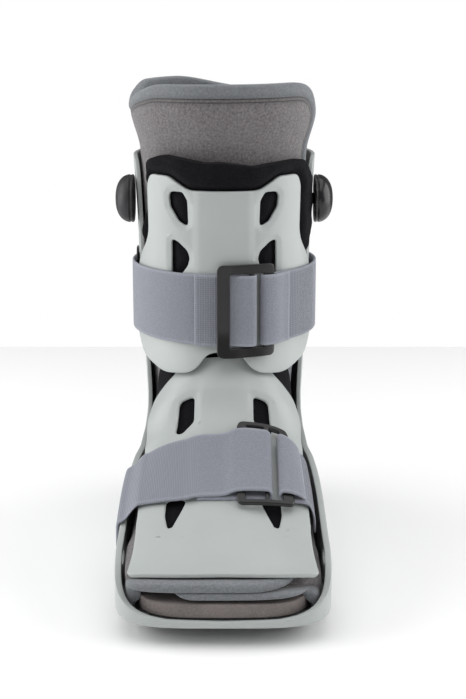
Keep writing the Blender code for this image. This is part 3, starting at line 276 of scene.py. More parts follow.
def keep_inside(point, inset):
    """Moves a point of an inner layer inwards where it would reach the shell's wall."""
    x, y, z = point
    if z > SHELL_TOP:
        return Vector(point)
    inset += lip(y)
    if y > AXIS_Y:
        half, depth = rear_size(z)
        over = (abs(x / (half - inset)) ** HEEL_POWER + ((y - AXIS_Y) / (depth - inset)) ** HEEL_POWER)
        over = over ** (1 / HEEL_POWER)
        if over > 1:
            return Vector((x / over, AXIS_Y + (y - AXIS_Y) / over, z))
    elif y < TOE_START:
        half, depth = TOE_HALF_WIDTH - inset, TOE_ROUND - inset
        reach = (TOE_START - y) / depth
        over = (abs(x / half) ** TOE_POWER + reach**TOE_POWER) ** (1 / TOE_POWER)
        if over > 1:
            kept = Vector((x / over, TOE_START - reach * depth / over, z))
            return kept.lerp(Vector(point), ease(z, wall_top(y) + RIM_CLEAR, wall_top(y) + 3 * RIM_CLEAR))
    else:
        limit = side_half_width(y, z, inset)
        return Vector((min(max(x, -limit), limit), y, z))
    return Vector(point)


def stack(y):
    """Thickness of the pad and panel in front of the liner."""
    return mix(TOE_STACK, PANEL_STACK, ease(y, TOE_Y + 0.1 * LENGTH, TOE_Y + 0.25 * LENGTH))


def instep(y):
    """Height of the foot panel's outer face along its middle."""
    return FOLD_Z * instep_share(y / LENGTH)


def back_profile():
    """The liner's outer line from the calf's back round the heel to the sole, as (y, z)."""
    low = FLOOR_TOP + GAP
    line = []
    for z in np.linspace(FOLD_Z, low + HEEL_CORNER, 12):
        line.append((AXIS_Y + rear_size(z)[1] - LINER_INSET, z))
    corner_y = line[-1][0] - HEEL_CORNER
    for angle in np.linspace(0, math.pi / 2, 7)[1:]:
        line.append((corner_y + HEEL_CORNER * math.cos(angle), low + HEEL_CORNER * (1 - math.sin(angle))))
    line.append((TOE_Y, low))
    return line


BACK = back_profile()
FOLD_DROP = FOLD_Z - instep(FOLD_Y)


def back_distance(angle):
    """Distance from the fold's pivot to the back profile, in a direction below the horizontal."""
    direction = Vector((math.cos(angle), -math.sin(angle)))
    best = 0.0
    for (ay, az), (by, bz) in zip(BACK, BACK[1:]):
        a = Vector((ay - FOLD_Y, az - FOLD_Z))
        b = Vector((by - FOLD_Y, bz - FOLD_Z))
        side_a, side_b = direction.cross(a), direction.cross(b)
        if (side_a <= 1e-9) != (side_b <= 1e-9) or abs(side_a) < 1e-9:
            t = side_a / (side_a - side_b) if side_a != side_b else 0.0
            best = max(best, a.lerp(b, t).dot(direction))
    return best


@functools.lru_cache(maxsize=200000)
def section(run):
    """Front point, back point and squareness of the section at this run from the toe to the top."""
    if run < FOOT_RUN:
        y = TOE_Y + run
        front, back, drop = Vector((y, instep(y))), Vector((y, FLOOR_TOP + GAP)), stack(y)
        power = squareness(y / LENGTH)
    elif run < LEG_START:
        angle = (LEG_START - run) / FOLD_RUN * math.pi / 2
        direction = Vector((math.cos(angle), -math.sin(angle)))
        pivot = Vector((FOLD_Y, FOLD_Z))
        reach = mix((SHIN_FRONT_Y - FOLD_Y) / FOLD_DROP, 1.0,
                    (fold_share(math.degrees(angle)) - FOLD[0][1]) / (1 - FOLD[0][1])) * FOLD_DROP
        front, back = pivot + direction * reach, pivot + direction * back_distance(angle)
        drop = mix(PANEL_STACK, stack(FOLD_Y), math.degrees(angle) / 90)
        power = squareness((FOLD_Y + (run - FOOT_RUN)) / LENGTH)
    else:
        z = FOLD_Z + run - LEG_START
        flare = ease(z, SHELL_TOP, SHELL_TOP + LINER_FLARE_RUN)
        front = Vector((SHIN_FRONT_Y - flare * LINER_FLARE, z))
        back = Vector((CALF_BACK_Y - LINER_INSET + 0.6 * flare * LINER_FLARE, z))
        drop = PANEL_STACK
        power = 2.0
    front = front + (back - front).normalized() * drop
    return front, back, power


def liner_half_width(centre):
    y, z = centre
    if z > SHELL_TOP:
        inside = SHELL_TOP_HALF_WIDTH - LINER_INSET
        return mix(inside, LINER_FLARE_HALF_WIDTH, ease(z, SHELL_TOP, SHELL_TOP + LINER_FLARE_RUN))
    if y > AXIS_Y:
        return rear_size(z)[0] - LINER_INSET
    if y < TOE_START:
        return TOE_HALF_WIDTH - LINER_INSET
    room = STRAP_ROOM * ease(y, TOE_START, TOE_START + 0.02) * (1 - ease(y, -0.02, 0.0))
    return side_half_width(y, z, LINER_INSET) - room


def body_point(angle, run, out=0.0):
    """A point of the liner's outer surface, or of a layer that lies out from it.

    Angle is 0 at the front of the leg or the top of the foot and grows to the right.
    """
    front, back, power = section(run)
    centre = (front + back) / 2
    depth = (front - back).length / 2
    towards = (front - back).normalized()
    half = liner_half_width(centre)
    under = under_squareness((TOE_Y + run) / LENGTH) if run < LEG_START else power
    x, v = rounded(angle, half + out, depth + out, power, max(power, under))
    spot = centre + towards * v
    bend = TOE_ROUND * 0.28 * (abs(x) / TOE_HALF_WIDTH) ** 4 * (1 - ease(run, 0.0, 0.3 * LENGTH))
    return Vector((x, spot.x + bend, spot.y))


def run_of(y):
    return y - TOE_Y


def leg_run(z):
    return LEG_START + z - FOLD_Z


def panel_half(z):
    return SHIN_HALF_WIDTH * mix(1.0, 0.985, ease(z, 0.19, 0.292))


SHIN_HEIGHT = SHIN_PANEL_TOP - SHIN_PANEL_BOTTOM


def shin_point(arc, z, out=0.0):
    """A point out from the shin panel's outer face; arc is a length along its horizontal section."""
    angle = arc / SHIN_HALF_WIDTH
    low = 1 - ease(z, SHIN_PANEL_BOTTOM, SHIN_PANEL_BOTTOM + SHIN_FLARE_HEIGHT)
    flare = SHIN_FLARE * low * max(math.cos(angle), 0.0)
    half, depth = panel_half(z) + out, SHIN_DEPTH + flare + out
    return Vector((half * math.sin(angle), AXIS_Y - depth * math.cos(angle), z))


def shin_arc(x, z):
    return SHIN_HALF_WIDTH * math.asin(min(abs(x) / panel_half(z), 1.0)) * (1 if x >= 0 else -1)


def shin_outline(corners, side=1):
    """Corners as shares of the panel's half-width and height, turned into corners along its arc."""
    outline = []
    for across, up, radius in corners:
        z = SHIN_PANEL_BOTTOM + up * SHIN_HEIGHT
        outline.append((shin_arc(side * across * SHIN_HALF_WIDTH, z), z, radius * PANEL_CORNER))
    return outline


def panel_out(run):
    if run < FOOT_RUN:
        return stack(TOE_Y + run)
    return mix(stack(FOLD_Y), PANEL_STACK, min((run - FOOT_RUN) / FOLD_RUN, 1.0))


def foot_angle(x, run):
    """The section angle at which the foot panel's outer face reaches x."""
    front, back, power = section(run)
    half = liner_half_width((front + back) / 2) + panel_out(run)
    share = min(abs(x) / half, 0.999)
    return math.copysign(math.atan2(share, (1 - share**power) ** (1 / power)), x)


def foot_point(u, run, under=0.0):
    """A point under the foot panel's outer face; u is the section angle as a length."""
    out = panel_out(run) - under
    p = body_point(u / ANGLE_SCALE, run, out)
    return keep_inside(p, SHELL_WALL + GAP + under) if p.z < WALL_BACK and p.y < AXIS_Y - CALF_EDGE else p


def foot_outline(corners, side=1):
    """Corners as shares of the panel's half-width and run, turned into corners along its section angle."""
    outline = []
    for across, along, radius in corners:
        run = along * FOOT_PANEL_RUN
        angle = foot_angle(side * across * FOOT_PANEL_HALF_WIDTH, run)
        outline.append((ANGLE_SCALE * angle, run, radius * PANEL_CORNER))
    return outline


def foot_wrap(x, y, height):
    """A point over the foot panel, and beyond its edges over or beside the tray's wall."""
    flat = min(abs(x), FOOT_STRAP_FLAT)
    run = run_of(y)
    top = foot_point(ANGLE_SCALE * foot_angle(flat, run), run).z
    past = ease(abs(x), FOOT_STRAP_FLAT, FOOT_STRAP_FLAT + 0.013)
    grow = side_half_width(y, 0.0) / side_half_width(FOOT_STRAP_Y, 0.0)
    slope = (instep(y + STRAP_WALL) - instep(y - STRAP_WALL)) / (2 * STRAP_WALL)
    steep = mix(math.hypot(1.0, slope), 1.0, past)
    return Vector((x * mix(1.0, grow, ease(abs(x), 0.5 * FOOT_STRAP_FLAT, FOOT_STRAP_FLAT)), y,
                   mix(top, wall_top(y), past) + height * steep))


# Sheets with rounded edges

def round_corners(corners, steps=8):
    """Corners are (u, v, radius); round ones become arcs."""
    points = []
    count = len(corners)
    for i, (u, v, radius) in enumerate(corners):
        here = Vector((u, v))
        if radius <= 0:
            points.append(here)
            continue
        before = Vector(corners[i - 1][:2]) - here
        after = Vector(corners[(i + 1) % count][:2]) - here
        half = before.angle(after) / 2
        reach = min(radius / math.tan(half), 0.48 * before.length, 0.48 * after.length)
        start = here + before.normalized() * reach
        end = here + after.normalized() * reach
        for k in range(steps + 1):
            t = k / steps
            points.append(start * (1 - t) ** 2 + here * 2 * t * (1 - t) + end * t * t)
    return points


def mirrored(corners):
    return [(-u, v, radius) for u, v, radius in reversed(corners)]


def even_loop(loop, step):
    """The closed loop with points at even distances."""
    ends = loop[1:] + loop[:1]
    lengths = np.array([(b - a).length for a, b in zip(loop, ends)])
    total = lengths.sum()
    marks = np.concatenate([[0.0], np.cumsum(lengths)])
    count = max(8, round(total / step))
    points = []
    for at in np.linspace(0, total, count, endpoint=False):
        i = min(int(np.searchsorted(marks, at, side="right")) - 1, len(loop) - 1)
        t = (at - marks[i]) / max(lengths[i], 1e-12)
        points.append(loop[i].lerp(ends[i], t))
    return points


def oval(u, v, half_u, half_v, count):
    """A closed loop round a centre."""
    turns = np.linspace(0, 2 * math.pi, count, endpoint=False)
    return [Vector((u + half_u * math.cos(a), v + half_v * math.sin(a))) for a in turns]


def area_of(loop):
    return sum(a.cross(b) for a, b in zip(loop, loop[1:] + loop[:1])) / 2


def loop_normals(loop, hole=False):
    """Directions in the plane that point out of the material at each point of a closed loop."""
    side = 1 if (area_of(loop) > 0) != hole else -1
    normals = []
    for i in range(len(loop)):
        along = loop[(i + 1) % len(loop)] - loop[i - 1]
        normals.append(Vector((along.y, -along.x)).normalized() * side)
    return normals


def contains(loop, u, v):
    """Whether each (u, v) lies inside the closed loop."""
    inside = np.zeros(len(u), bool)
    for i, a in enumerate(loop):
        b = loop[(i + 1) % len(loop)]
        crosses = (a.y > v) != (b.y > v)
        with np.errstate(divide="ignore", invalid="ignore"):
            at = a.x + (v - a.y) * (b.x - a.x) / (b.y - a.y)
        inside ^= crosses & (u < at)
    return inside


def distance_to(line, u, v, closed=True):
    """Distance of each (u, v) from a line of points."""
    best = np.full(len(u), np.inf)
    ends = line[1:] + (line[:1] if closed else [])
    for a, b in zip(line, ends):
        along = b - a
        t = ((u - a.x) * along.x + (v - a.y) * along.y) / max(along.length_squared, 1e-18)
        t = np.clip(t, 0.0, 1.0)
        best = np.minimum(best, np.hypot(u - a.x - t * along.x, v - a.y - t * along.y))
    return best


SLIVER = 1e-9


def fill(loops, step, guides=()):
    """Triangles inside the first loop and outside the others; guides are lines that the edges follow."""
    edge = np.array([tuple(p) for loop in loops for p in loop])
    margin = 0.55 * step

    def clear(points, spacing):
        inside = contains(loops[0], points[:, 0], points[:, 1])
        for loop in loops[1:]:
            inside &= ~contains(loop, points[:, 0], points[:, 1])
        far = np.array([np.min(np.sum((edge - p) ** 2, axis=1)) > spacing**2 for p in points], bool)
        return inside & far

    points = [Vector(p) for p in edge]
    constraints = []
    first = 0
    for loop in loops:
        constraints += [(first + i, first + (i + 1) % len(loop)) for i in range(len(loop))]
        first += len(loop)
    taken = []
    for line, closed in guides:
        good = clear(np.array([tuple(p) for p in line]), margin)
        numbers = []
        for p, kept in zip(line, good):
            numbers.append(len(points) if kept else None)
            if kept:
                points.append(Vector(p))
                taken.append(tuple(p))
        pairs = zip(numbers, numbers[1:] + (numbers[:1] if closed else []))
        constraints += [(a, b) for a, b in pairs if a is not None and b is not None]
    low, high = edge.min(axis=0), edge.max(axis=0)
    grid = []
    for k, v in enumerate(np.arange(low[1] + step / 2, high[1], step * 0.87)):
        for u in np.arange(low[0] + step * (0.25 + 0.5 * (k % 2)), high[0], step):
            grid.append((u, v))
    grid = np.array(grid)
    grid = grid[clear(grid, margin)]
    if taken:
        taken = np.array(taken)
        far = [np.min(np.sum((taken - p) ** 2, axis=1)) > margin**2 for p in grid]
        grid = grid[np.array(far, bool)]
    points += [Vector(p) for p in grid]
    verts, _, faces, origins, *_ = delaunay_2d_cdt(points, constraints, [], 0, 1e-7)
    corners = np.array([tuple(p) for p in verts])
    faces = np.array([face for face in faces if len(face) == 3])
    a, b, c = (corners[faces[:, k]] for k in range(3))
    twice = (b[:, 0] - a[:, 0]) * (c[:, 1] - a[:, 1]) - (b[:, 1] - a[:, 1]) * (c[:, 0] - a[:, 0])
    middle = (a + b + c) / 3
    keep = contains(loops[0], middle[:, 0], middle[:, 1]) & (np.abs(twice) > SLIVER)
    for loop in loops[1:]:
        keep &= ~contains(loop, middle[:, 0], middle[:, 1])
    return verts, [tuple(int(i) for i in face) for face in faces[keep]], origins


def open_edges(faces):
    """Edges that only one face uses, in that face's direction."""
    used = {(face[i], face[(i + 1) % len(face)]) for face in faces for i in range(len(face))}
    return [(a, b) for a, b in sorted(used) if (b, a) not in used]


def edge_profile(edge, steps=5):
    """(offset, front share, back share): from the front face round a rounded edge to the back face."""
    turns = np.linspace(0, math.pi / 2, steps + 1)
    front = [(edge * (math.sin(t) - 1), edge * (1 - math.cos(t)), 0.0) for t in turns[1:]]
    back = [(edge * (math.cos(t) - 1), 0.0, edge * (1 - math.sin(t))) for t in turns[:-1]]
    return front, back


def sheet(loops, normals, step, surface, wall, edge, front=None, back=None, guides=()):
    """A closed sheet. surface(u, v, depth) gives its points, wall(u, v) its thickness.

    front and back give, for arrays u and v, how far each face stands out. Loops with zero normals get no rim.
    """
    inner = [[p - n * edge for p, n in zip(loop, ns)] for loop, ns in zip(loops, normals)]
    flat_normals = [n for ns in normals for n in ns]
    verts, faces, origins = fill(inner, step, guides)
    u, v = np.array([tuple(p) for p in verts]).T
    rise = front(u, v) if front else np.zeros(len(u))
    sink = back(u, v) if back else np.zeros(len(u))
    walls = [wall(*p) for p in verts]
    count = len(verts)
    points = [surface(p.x, p.y, -rise[i]) for i, p in enumerate(verts)]
    points += [surface(p.x, p.y, walls[i] + sink[i]) for i, p in enumerate(verts)]
    solid = list(faces) + [tuple(count + i for i in reversed(face)) for face in faces]
    outward = {}
    for i, numbers in enumerate(origins):
        for number in numbers:
            if number < len(flat_normals):
                outward[i] = flat_normals[number]
    turned, returned = edge_profile(edge)
    strips = [(a, b) for a, b in open_edges(faces)
              if outward.get(a, Vector((0, 0))).length > 0.5 and outward.get(b, Vector((0, 0))).length > 0.5]
    rings = {}
    for i in sorted({i for pair in strips for i in pair}):
        ring = [i]
        for offset, from_front, _ in turned:
            spot = verts[i] + outward[i] * (edge + offset)
            ring.append(len(points))
            points.append(surface(spot.x, spot.y, from_front - rise[i]))
        for offset, _, from_back in returned:
            spot = verts[i] + outward[i] * (edge + offset)
            ring.append(len(points))
            points.append(surface(spot.x, spot.y, walls[i] + sink[i] - from_back))
        rings[i] = ring + [count + i]
    for a, b in strips:
        for k in range(len(rings[a]) - 1):
            solid.append((rings[b][k], rings[a][k], rings[a][k + 1], rings[b][k + 1]))
    return points, solid, (verts, faces, count)


def plain_sheet(rim, holes, step, surface, wall, edge, front=None, back=None, guides=()):
    """A sheet whose loops all have rounded rims."""
    loops = [even_loop(loop, step) for loop in [rim] + holes]
    normals = [loop_normals(loop, i > 0) for i, loop in enumerate(loops)]
    points, solid, _ = sheet(loops, normals, step, surface, lambda u, v: wall, edge, front, back, guides)
    return points, solid


def shifted(loop, distance):
    """The closed loop moved outwards by a distance."""
    normals = loop_normals(loop)
    return [p + n * distance for p, n in zip(loop, normals)]


def level(height):
    """A flat surface for a sheet, with its depth going down."""
    return lambda x, y, depth: Vector((x, y, height - depth))


def make_piece(name, points, faces, material, nodes, body="boot", layers=None, weld=False):
    """One named piece that rides on a body and stands for the frame's nodes."""
    mesh = bpy.data.meshes.new(name)
    mesh.from_pydata([tuple(p) for p in points], [], faces)
    for label, values in (layers or {}).items():
        layer = mesh.attributes.new(label, "FLOAT", "POINT")
        layer.data.foreach_set("value", np.array(values, np.float32))
    work = bmesh.new()
    work.from_mesh(mesh)
    if weld:
        bmesh.ops.remove_doubles(work, verts=work.verts, dist=2e-6)
    bmesh.ops.recalc_face_normals(work, faces=work.faces)
    work.to_mesh(mesh)
    work.free()
    mesh.shade_smooth()
    mesh.materials.append(material)
    item = bpy.data.objects.new(name, mesh)
    bpy.context.scene.collection.objects.link(item)
    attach(item, body)
    if nodes:
        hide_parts(*nodes)
    return item


# Materials

def add(tree, kind, inputs=None, **settings):
    """Adds a node; inputs maps a socket to a value or to another node's output."""
    made = tree.nodes.new(kind)
    for key, value in settings.items():
        setattr(made, key, value)
    for key, value in (inputs or {}).items():
        if isinstance(value, bpy.types.NodeSocket):
            tree.links.new(value, made.inputs[key])
        else:
            made.inputs[key].default_value = value
    return made


def new_material(name):
    material = bpy.data.materials.new(name)
    material.use_nodes = True
    return material, material.node_tree, material.node_tree.nodes["Principled BSDF"]


def grain(tree, scale, detail=3.0, rough=0.6):
    """A noise over the piece's own coordinates, in grains per metre."""
    where = add(tree, "ShaderNodeTexCoord").outputs["Object"]
    inputs = {"Vector": where, "Scale": scale, "Detail": detail, "Roughness": rough}
    return add(tree, "ShaderNodeTexNoise", inputs).outputs["Fac"]


def spread(tree, value, low, high, to_low=0.0, to_high=1.0):
    """Maps the stretch from low to high onto the one from to_low to to_high."""
    ends = {"From Min": low, "From Max": high, "To Min": to_low, "To Max": to_high}
    return add(tree, "ShaderNodeMapRange", {"Value": value, **ends}).outputs["Result"]


def paint(tree, shader, value, socket="Base Color"):
    tree.links.new(value, shader.inputs[socket])


def mark(tree, label):
    """One of the piece's own attributes."""
    return add(tree, "ShaderNodeAttribute", attribute_name=label).outputs["Fac"]


def math_node(tree, operation, a, b=0.0):
    return add(tree, "ShaderNodeMath", {0: a, 1: b}, operation=operation).outputs[0]


def blend_colours(tree, share, a, b):
    made = add(tree, "ShaderNodeMix", {0: share}, data_type="RGBA")
    for socket, colour in ((made.inputs[6], a), (made.inputs[7], b)):
        if isinstance(colour, bpy.types.NodeSocket):
            tree.links.new(colour, socket)
        else:
            socket.default_value = (*colour, 1.0)
    return made.outputs[2]


def shade(colour, factor):
    return tuple(c * factor for c in colour)


def bump(tree, shader, height, strength, distance, under=None):
    made = add(tree, "ShaderNodeBump", {"Height": height, "Strength": strength, "Distance": distance})
    if under:
        tree.links.new(under.outputs["Normal"], made.inputs["Normal"])
    tree.links.new(made.outputs["Normal"], shader.inputs["Normal"])
    return made


# Pale colour of the painted highlight on the plastics' convex edges
EDGE_HIGHLIGHT_PAINT = (0.85, 0.86, 0.85)


def plastic(name, colour, rough, edge_highlight=0.10):
    """Moulded plastic: a fine spark-eroded grain, slow changes of tone, and a painted highlight that lightens
    its convex edges.
    """
    material, tree, shader = new_material(name)
    tone = spread(tree, grain(tree, 22.0, 4.0), 0.3, 0.7)
    mottled = blend_colours(tree, tone, shade(colour, 0.965), shade(colour, 1.03))
    # Painted highlight: convex edges and rims, found by the mesh's pointiness, are blended towards a pale
    # colour as if light caught them
    painted_edge_highlight = spread(tree, add(tree, "ShaderNodeNewGeometry").outputs["Pointiness"], 0.52, 0.60, 0.0, edge_highlight)
    paint(tree, shader, blend_colours(tree, painted_edge_highlight, mottled, EDGE_HIGHLIGHT_PAINT))
    paint(tree, shader, spread(tree, grain(tree, 60.0), 0.3, 0.7, rough - 0.05, rough + 0.06), "Roughness")
    bump(tree, shader, grain(tree, 1500.0, 2.0), 0.10, 0.0003)
    return material


def plush(name, colour, grain_size=0.0012, contrast=0.28, sheen=0.25, warm=None, edge=None):
    """Brushed fabric: a speckled pile with soft lumps, and with a binding and stitching if edge is given."""
    material, tree, shader = new_material(name)
    fine = grain(tree, 1 / grain_size, 5.0, 0.75)
    share = spread(tree, fine, 0.36, 0.64)
    speckle = blend_colours(tree, share, shade(colour, 1 - contrast), shade(colour, 1 + contrast))
    lumps = spread(tree, grain(tree, 70.0, 3.0), 0.3, 0.7)
    base = blend_colours(tree, math_node(tree, "MULTIPLY", lumps, 0.22), speckle, warm or shade(colour, 1.35))
    if edge:
        rolled = blend_colours(tree, share, shade(edge, 0.8), shade(edge, 1.2))
        base = blend_colours(tree, mark(tree, "binding"), base, rolled)
        thread = math_node(tree, "MULTIPLY", mark(tree, "stitching"), 0.6)
        base = blend_colours(tree, thread, base, shade(colour, 0.25))
    paint(tree, shader, base)
    shader.inputs["Roughness"].default_value = 0.95
    shader.inputs["Specular IOR Level"].default_value = 0.15
    shader.inputs["Sheen Weight"].default_value = sheen
    shader.inputs["Sheen Roughness"].default_value = 0.6
    first = bump(tree, shader, grain(tree, 160.0, 2.0), 0.25, 0.0010)
    bump(tree, shader, fine, 0.75, 0.0009, first)
    return material


def foam(name, colour):
    """Closed-cell foam with small pores."""
    material, tree, shader = new_material(name)
    where = add(tree, "ShaderNodeTexCoord").outputs["Object"]
    cells = add(tree, "ShaderNodeTexVoronoi", {"Vector": where, "Scale": 850.0}).outputs["Distance"]
    tone = math_node(tree, "ADD", math_node(tree, "MULTIPLY", cells, 0.6), grain(tree, 45.0, 5.0))
    share = spread(tree, tone, 0.5, 1.0)
    paint(tree, shader, blend_colours(tree, share, shade(colour, 0.82), shade(colour, 1.15)))
    shader.inputs["Roughness"].default_value = 0.9
    bump(tree, shader, cells, 0.5, 0.0004)
    return material


def rubber(name, colour, rough):
    """Dull rubber with a dusty bloom."""
    material, tree, shader = new_material(name)
    dust = spread(tree, grain(tree, 35.0, 6.0), 0.35, 0.75)
    paint(tree, shader, blend_colours(tree, dust, shade(colour, 0.85), shade(colour, 1.35)))
    paint(tree, shader, spread(tree, grain(tree, 120.0), 0.3, 0.7, rough - 0.06, rough + 0.08), "Roughness")
    bump(tree, shader, grain(tree, 2200.0, 2.0), 0.12, 0.0002)
    return material


def lines(tree, value, pitch, sharp=1.0):
    """Soft lines at even distances along a coordinate, from 0 to 1."""
    turn = math_node(tree, "MULTIPLY", value, 2 * math.pi / pitch)
    wave = math_node(tree, "MULTIPLY_ADD", math_node(tree, "SINE", turn), 0.5)
    wave.node.inputs[2].default_value = 0.5
    return math_node(tree, "POWER", wave, sharp)


def webbing(name, colour):
    """Strap tape: brushed loops, woven ribs, an open grid and a hook patch, by the strap's own marks."""
    material, tree, shader = new_material(name)
    along, across = mark(tree, "along"), mark(tree, "across")
    fine = spread(tree, grain(tree, 1100.0, 4.0, 0.7), 0.35, 0.65)
    base = blend_colours(tree, fine, shade(colour, 0.86), shade(colour, 1.14))
    cords = math_node(tree, "MULTIPLY", lines(tree, across, 0.0009), 0.6)
    ribs = math_node(tree, "MAXIMUM", lines(tree, along, 0.0012), cords)
    ribbed = blend_colours(tree, ribs, shade(colour, 0.80), shade(colour, 1.12))
    grid = math_node(tree, "MAXIMUM", lines(tree, along, 0.0017, 4.0), lines(tree, across, 0.0015, 4.0))
    netted = blend_colours(tree, grid, shade(colour, 0.70), shade(colour, 1.10))
    tufts = spread(tree, grain(tree, 1700.0, 3.0, 0.8), 0.42, 0.62)
    hooked = blend_colours(tree, tufts, shade(colour, 0.55), shade(colour, 1.4))
    colours = base
    height = math_node(tree, "MULTIPLY", fine, 0.6)
    for label, look, relief in (("ribs", ribbed, ribs), ("grid", netted, grid), ("hooks", hooked, tufts)):
        share = mark(tree, label)
        colours = blend_colours(tree, share, colours, look)
        mixed = add(tree, "ShaderNodeMix", {0: share, 2: height, 3: relief}, data_type="FLOAT")
        height = mixed.outputs[0]
    edge = math_node(tree, "MULTIPLY", mark(tree, "selvage"), 0.55)
    paint(tree, shader, blend_colours(tree, edge, colours, shade(colour, 1.4)))
    shader.inputs["Roughness"].default_value = 0.92
    shader.inputs["Sheen Weight"].default_value = 0.2
    bump(tree, shader, height, 0.6, 0.0006)
    return material


PALE = plastic("pale_plastic", (0.41, 0.438, 0.428), 0.42)
PANEL = plastic("panel_plastic", (0.41, 0.438, 0.43), 0.38)
BLACK = plastic("black_plastic", (0.006, 0.0058, 0.0058), 0.38, 0.01)
DIAL = plastic("dial_plastic", (0.006, 0.006, 0.008), 0.26, 0.01)
BULB = rubber("bulb_rubber", (0.012, 0.012, 0.0145), 0.5)
SOLE = rubber("sole_rubber", (0.10, 0.103, 0.106), 0.7)
PILE = plush("liner_pile", (0.158, 0.147, 0.149), 0.0015, 0.46, warm=(0.22, 0.21, 0.215),
             edge=(0.175, 0.186, 0.199))
PAD = plush("pad_cloth", (0.0045, 0.0043, 0.0060), grain_size=0.0016, contrast=0.5, sheen=0.02)
STRAP = webbing("strap_webbing", (0.232, 0.243, 0.282))
FOAM = foam("insole_foam", (0.175, 0.152, 0.145))


# Hard pieces

SHELL_EDGE = 0.0007


def base_shell():
    """Tray and calf shell in one moulding, with vents by the toes and a hole for the dial's spindle."""
    step = 0.0032
    edge = REAR_RUN + CALF_EDGE
    right = [(edge, SHELL_TOP, SHELL_CORNER), (edge, WALL_BACK, ANKLE_FILLET)]
    right += [(side_run(y), wall_top(y), 0) for y in np.linspace(AXIS_Y - 0.035, TOE_START, 40)]
    right += [(side_run(TOE_Y + TOE_ROUND * share), wall_top(TOE_Y + TOE_ROUND * share), 0)
              for share in np.linspace(0.97, 0.02, 26)]
    right += [(FULL_RUN, TOE_LIP, 0)]
    top = round_corners(mirrored(right) + right, 12)
    rim = [top[0]]
    for a, b in zip(top, top[1:]):
        parts = max(1, math.ceil((b - a).length / step - 1e-6))
        rim += [a.lerp(b, k / parts) for k in range(1, parts + 1)]
    rim_normals = []
    for i, p in enumerate(rim):
        along = rim[min(i + 1, len(rim) - 1)] - rim[max(i - 1, 0)]
        rim_normals.append(Vector((-along.y, along.x)).normalized())
    rim_normals[0] = rim_normals[-1] = Vector((0.0, 1.0))
    runs = np.linspace(FULL_RUN, -FULL_RUN, round(2 * FULL_RUN / step) + 1)
    low = [Vector((run, WALL_START)) for run in runs]
    loops = [rim + low]
    normals = [rim_normals + [Vector((0.0, 0.0))] * len(low)]
    for side in (-1, 1):
        for place, height in VENTS:
            y = place * LENGTH
            loops.append(oval(side * side_run(y), height * wall_top(y), VENT_HALF_RUN, VENT_HALF_HEIGHT, 28))
    low_corner, high_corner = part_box("selector_dial")
    knob_y, knob_z = (low_corner[1] + high_corner[1]) / 2, (low_corner[2] + high_corner[2]) / 2
    radius = SPINDLE_RADIUS + GAP
    loops.append(oval(side_run(knob_y), knob_z, radius, radius, 24))
    normals += [loop_normals(loop, True) for loop in loops[1:]]

    def wall(run, z):
        y = shell_point(run, z).y
        return SHELL_WALL + lip(y) * min(max(1 - (wall_top(y) - z) / LIP_DEPTH, 0.0), 1.0)

    points, solid, (verts, faces, count) = sheet(loops, normals, step, shell_point, wall, SHELL_EDGE)
    bottom = {a: b for a, b in open_edges(faces) if max(verts[a].y, verts[b].y) < WALL_START + 1e-7}
    order = [min(bottom, key=lambda i: verts[i].x)]
    while order[-1] in bottom:
        order.append(bottom[order[-1]])
    runs = [verts[i].x for i in order]
    rounds = ((0, WALL_START - SOLE_HEIGHT, 0.0, 8), (count, FLOOR_FILLET, SHELL_WALL, 4))
    for start, radius, inset, steps in rounds:
        previous = [start + i for i in order]
        for angle in np.linspace(0, math.pi / 2, steps + 1)[1:]:
            ring = [len(points) + k for k in range(len(runs))]
            z = WALL_START - radius * math.sin(angle)
            inwards = inset + radius * (1 - math.cos(angle))
            points += [shell_point(run, z, inwards) for run in runs]
            solid += [(previous[k], ring[k], ring[k + 1], previous[k + 1]) for k in range(len(runs) - 1)]
            previous = ring
        solid.append(tuple(previous[:-1]))
    return make_piece("tray_and_calf", points, solid, PALE, ["base_shell"], weld=True)


# Where the outsole leaves the floor
ROCKER_TOE, ROCKER_HEEL = -0.064, 0.27 * LENGTH


def rocker(y):
    """Height of the outsole's underside."""
    toe = max(0.0, (ROCKER_TOE - y) / (ROCKER_TOE - TOE_Y))
    heel = max(0.0, (y - ROCKER_HEEL) / (HEEL_Y - ROCKER_HEEL))
    return TOE_SPRING * min(toe, 1.0) ** 1.8 + HEEL_SPRING * min(heel, 1.0) ** 2


TREAD_PITCH, TREAD_GROOVE, TREAD_DEPTH = 0.0110, 0.0026, 0.0016


def outsole():
    """Rubber rocker sole with straight grooves across its tread."""
    top = SOLE_HEIGHT - GAP
    outline = []
    for run in np.linspace(-FULL_RUN, FULL_RUN, 161)[:-1]:
        back = ease(shell_point(run, SOLE_HEIGHT).y, TOE_START - 0.5 * TOE_ROUND, TOE_START + TOE_ROUND)
        outline.append(shell_point(run, SOLE_HEIGHT, mix(OUTSOLE_TOE_INSET, OUTSOLE_INSET, back)).xy)
    rim = even_loop(outline, 0.0035)
    places = np.arange(TOE_Y + TREAD_PITCH, HEEL_Y - TREAD_PITCH / 2, TREAD_PITCH)
    guides = []
    for place in places:
        for shift in (-0.5, -0.28, 0.28, 0.5):
            y = place + shift * TREAD_GROOVE
            guides.append(([Vector((x, y)) for x in np.linspace(-TOE_HALF_WIDTH, TOE_HALF_WIDTH, 40)], False))

    def grooves(u, v):
        away = np.min(np.abs(v[:, None] - places[None, :]), axis=1)
        return -TREAD_DEPTH * (1 - ramp(away, 0.28 * TREAD_GROOVE, 0.5 * TREAD_GROOVE))

    points, faces, _ = sheet([rim], [loop_normals(rim)], 0.0040, level(top), lambda x, y: top - rocker(y),
                             0.0010, back=grooves, guides=guides)
    return make_piece("rubber_sole", points, faces, SOLE, ["outsole"])


def dished(holes, width, depth):
    """A relief that slopes down to each hole over the given width."""
    def rise(u, v):
        height = np.zeros(len(u))
        for hole in holes:
            away = distance_to(hole, u, v)
            height = np.minimum(height, -depth * (1 - ramp(away, 0.0, width)))
        return height
    return rise


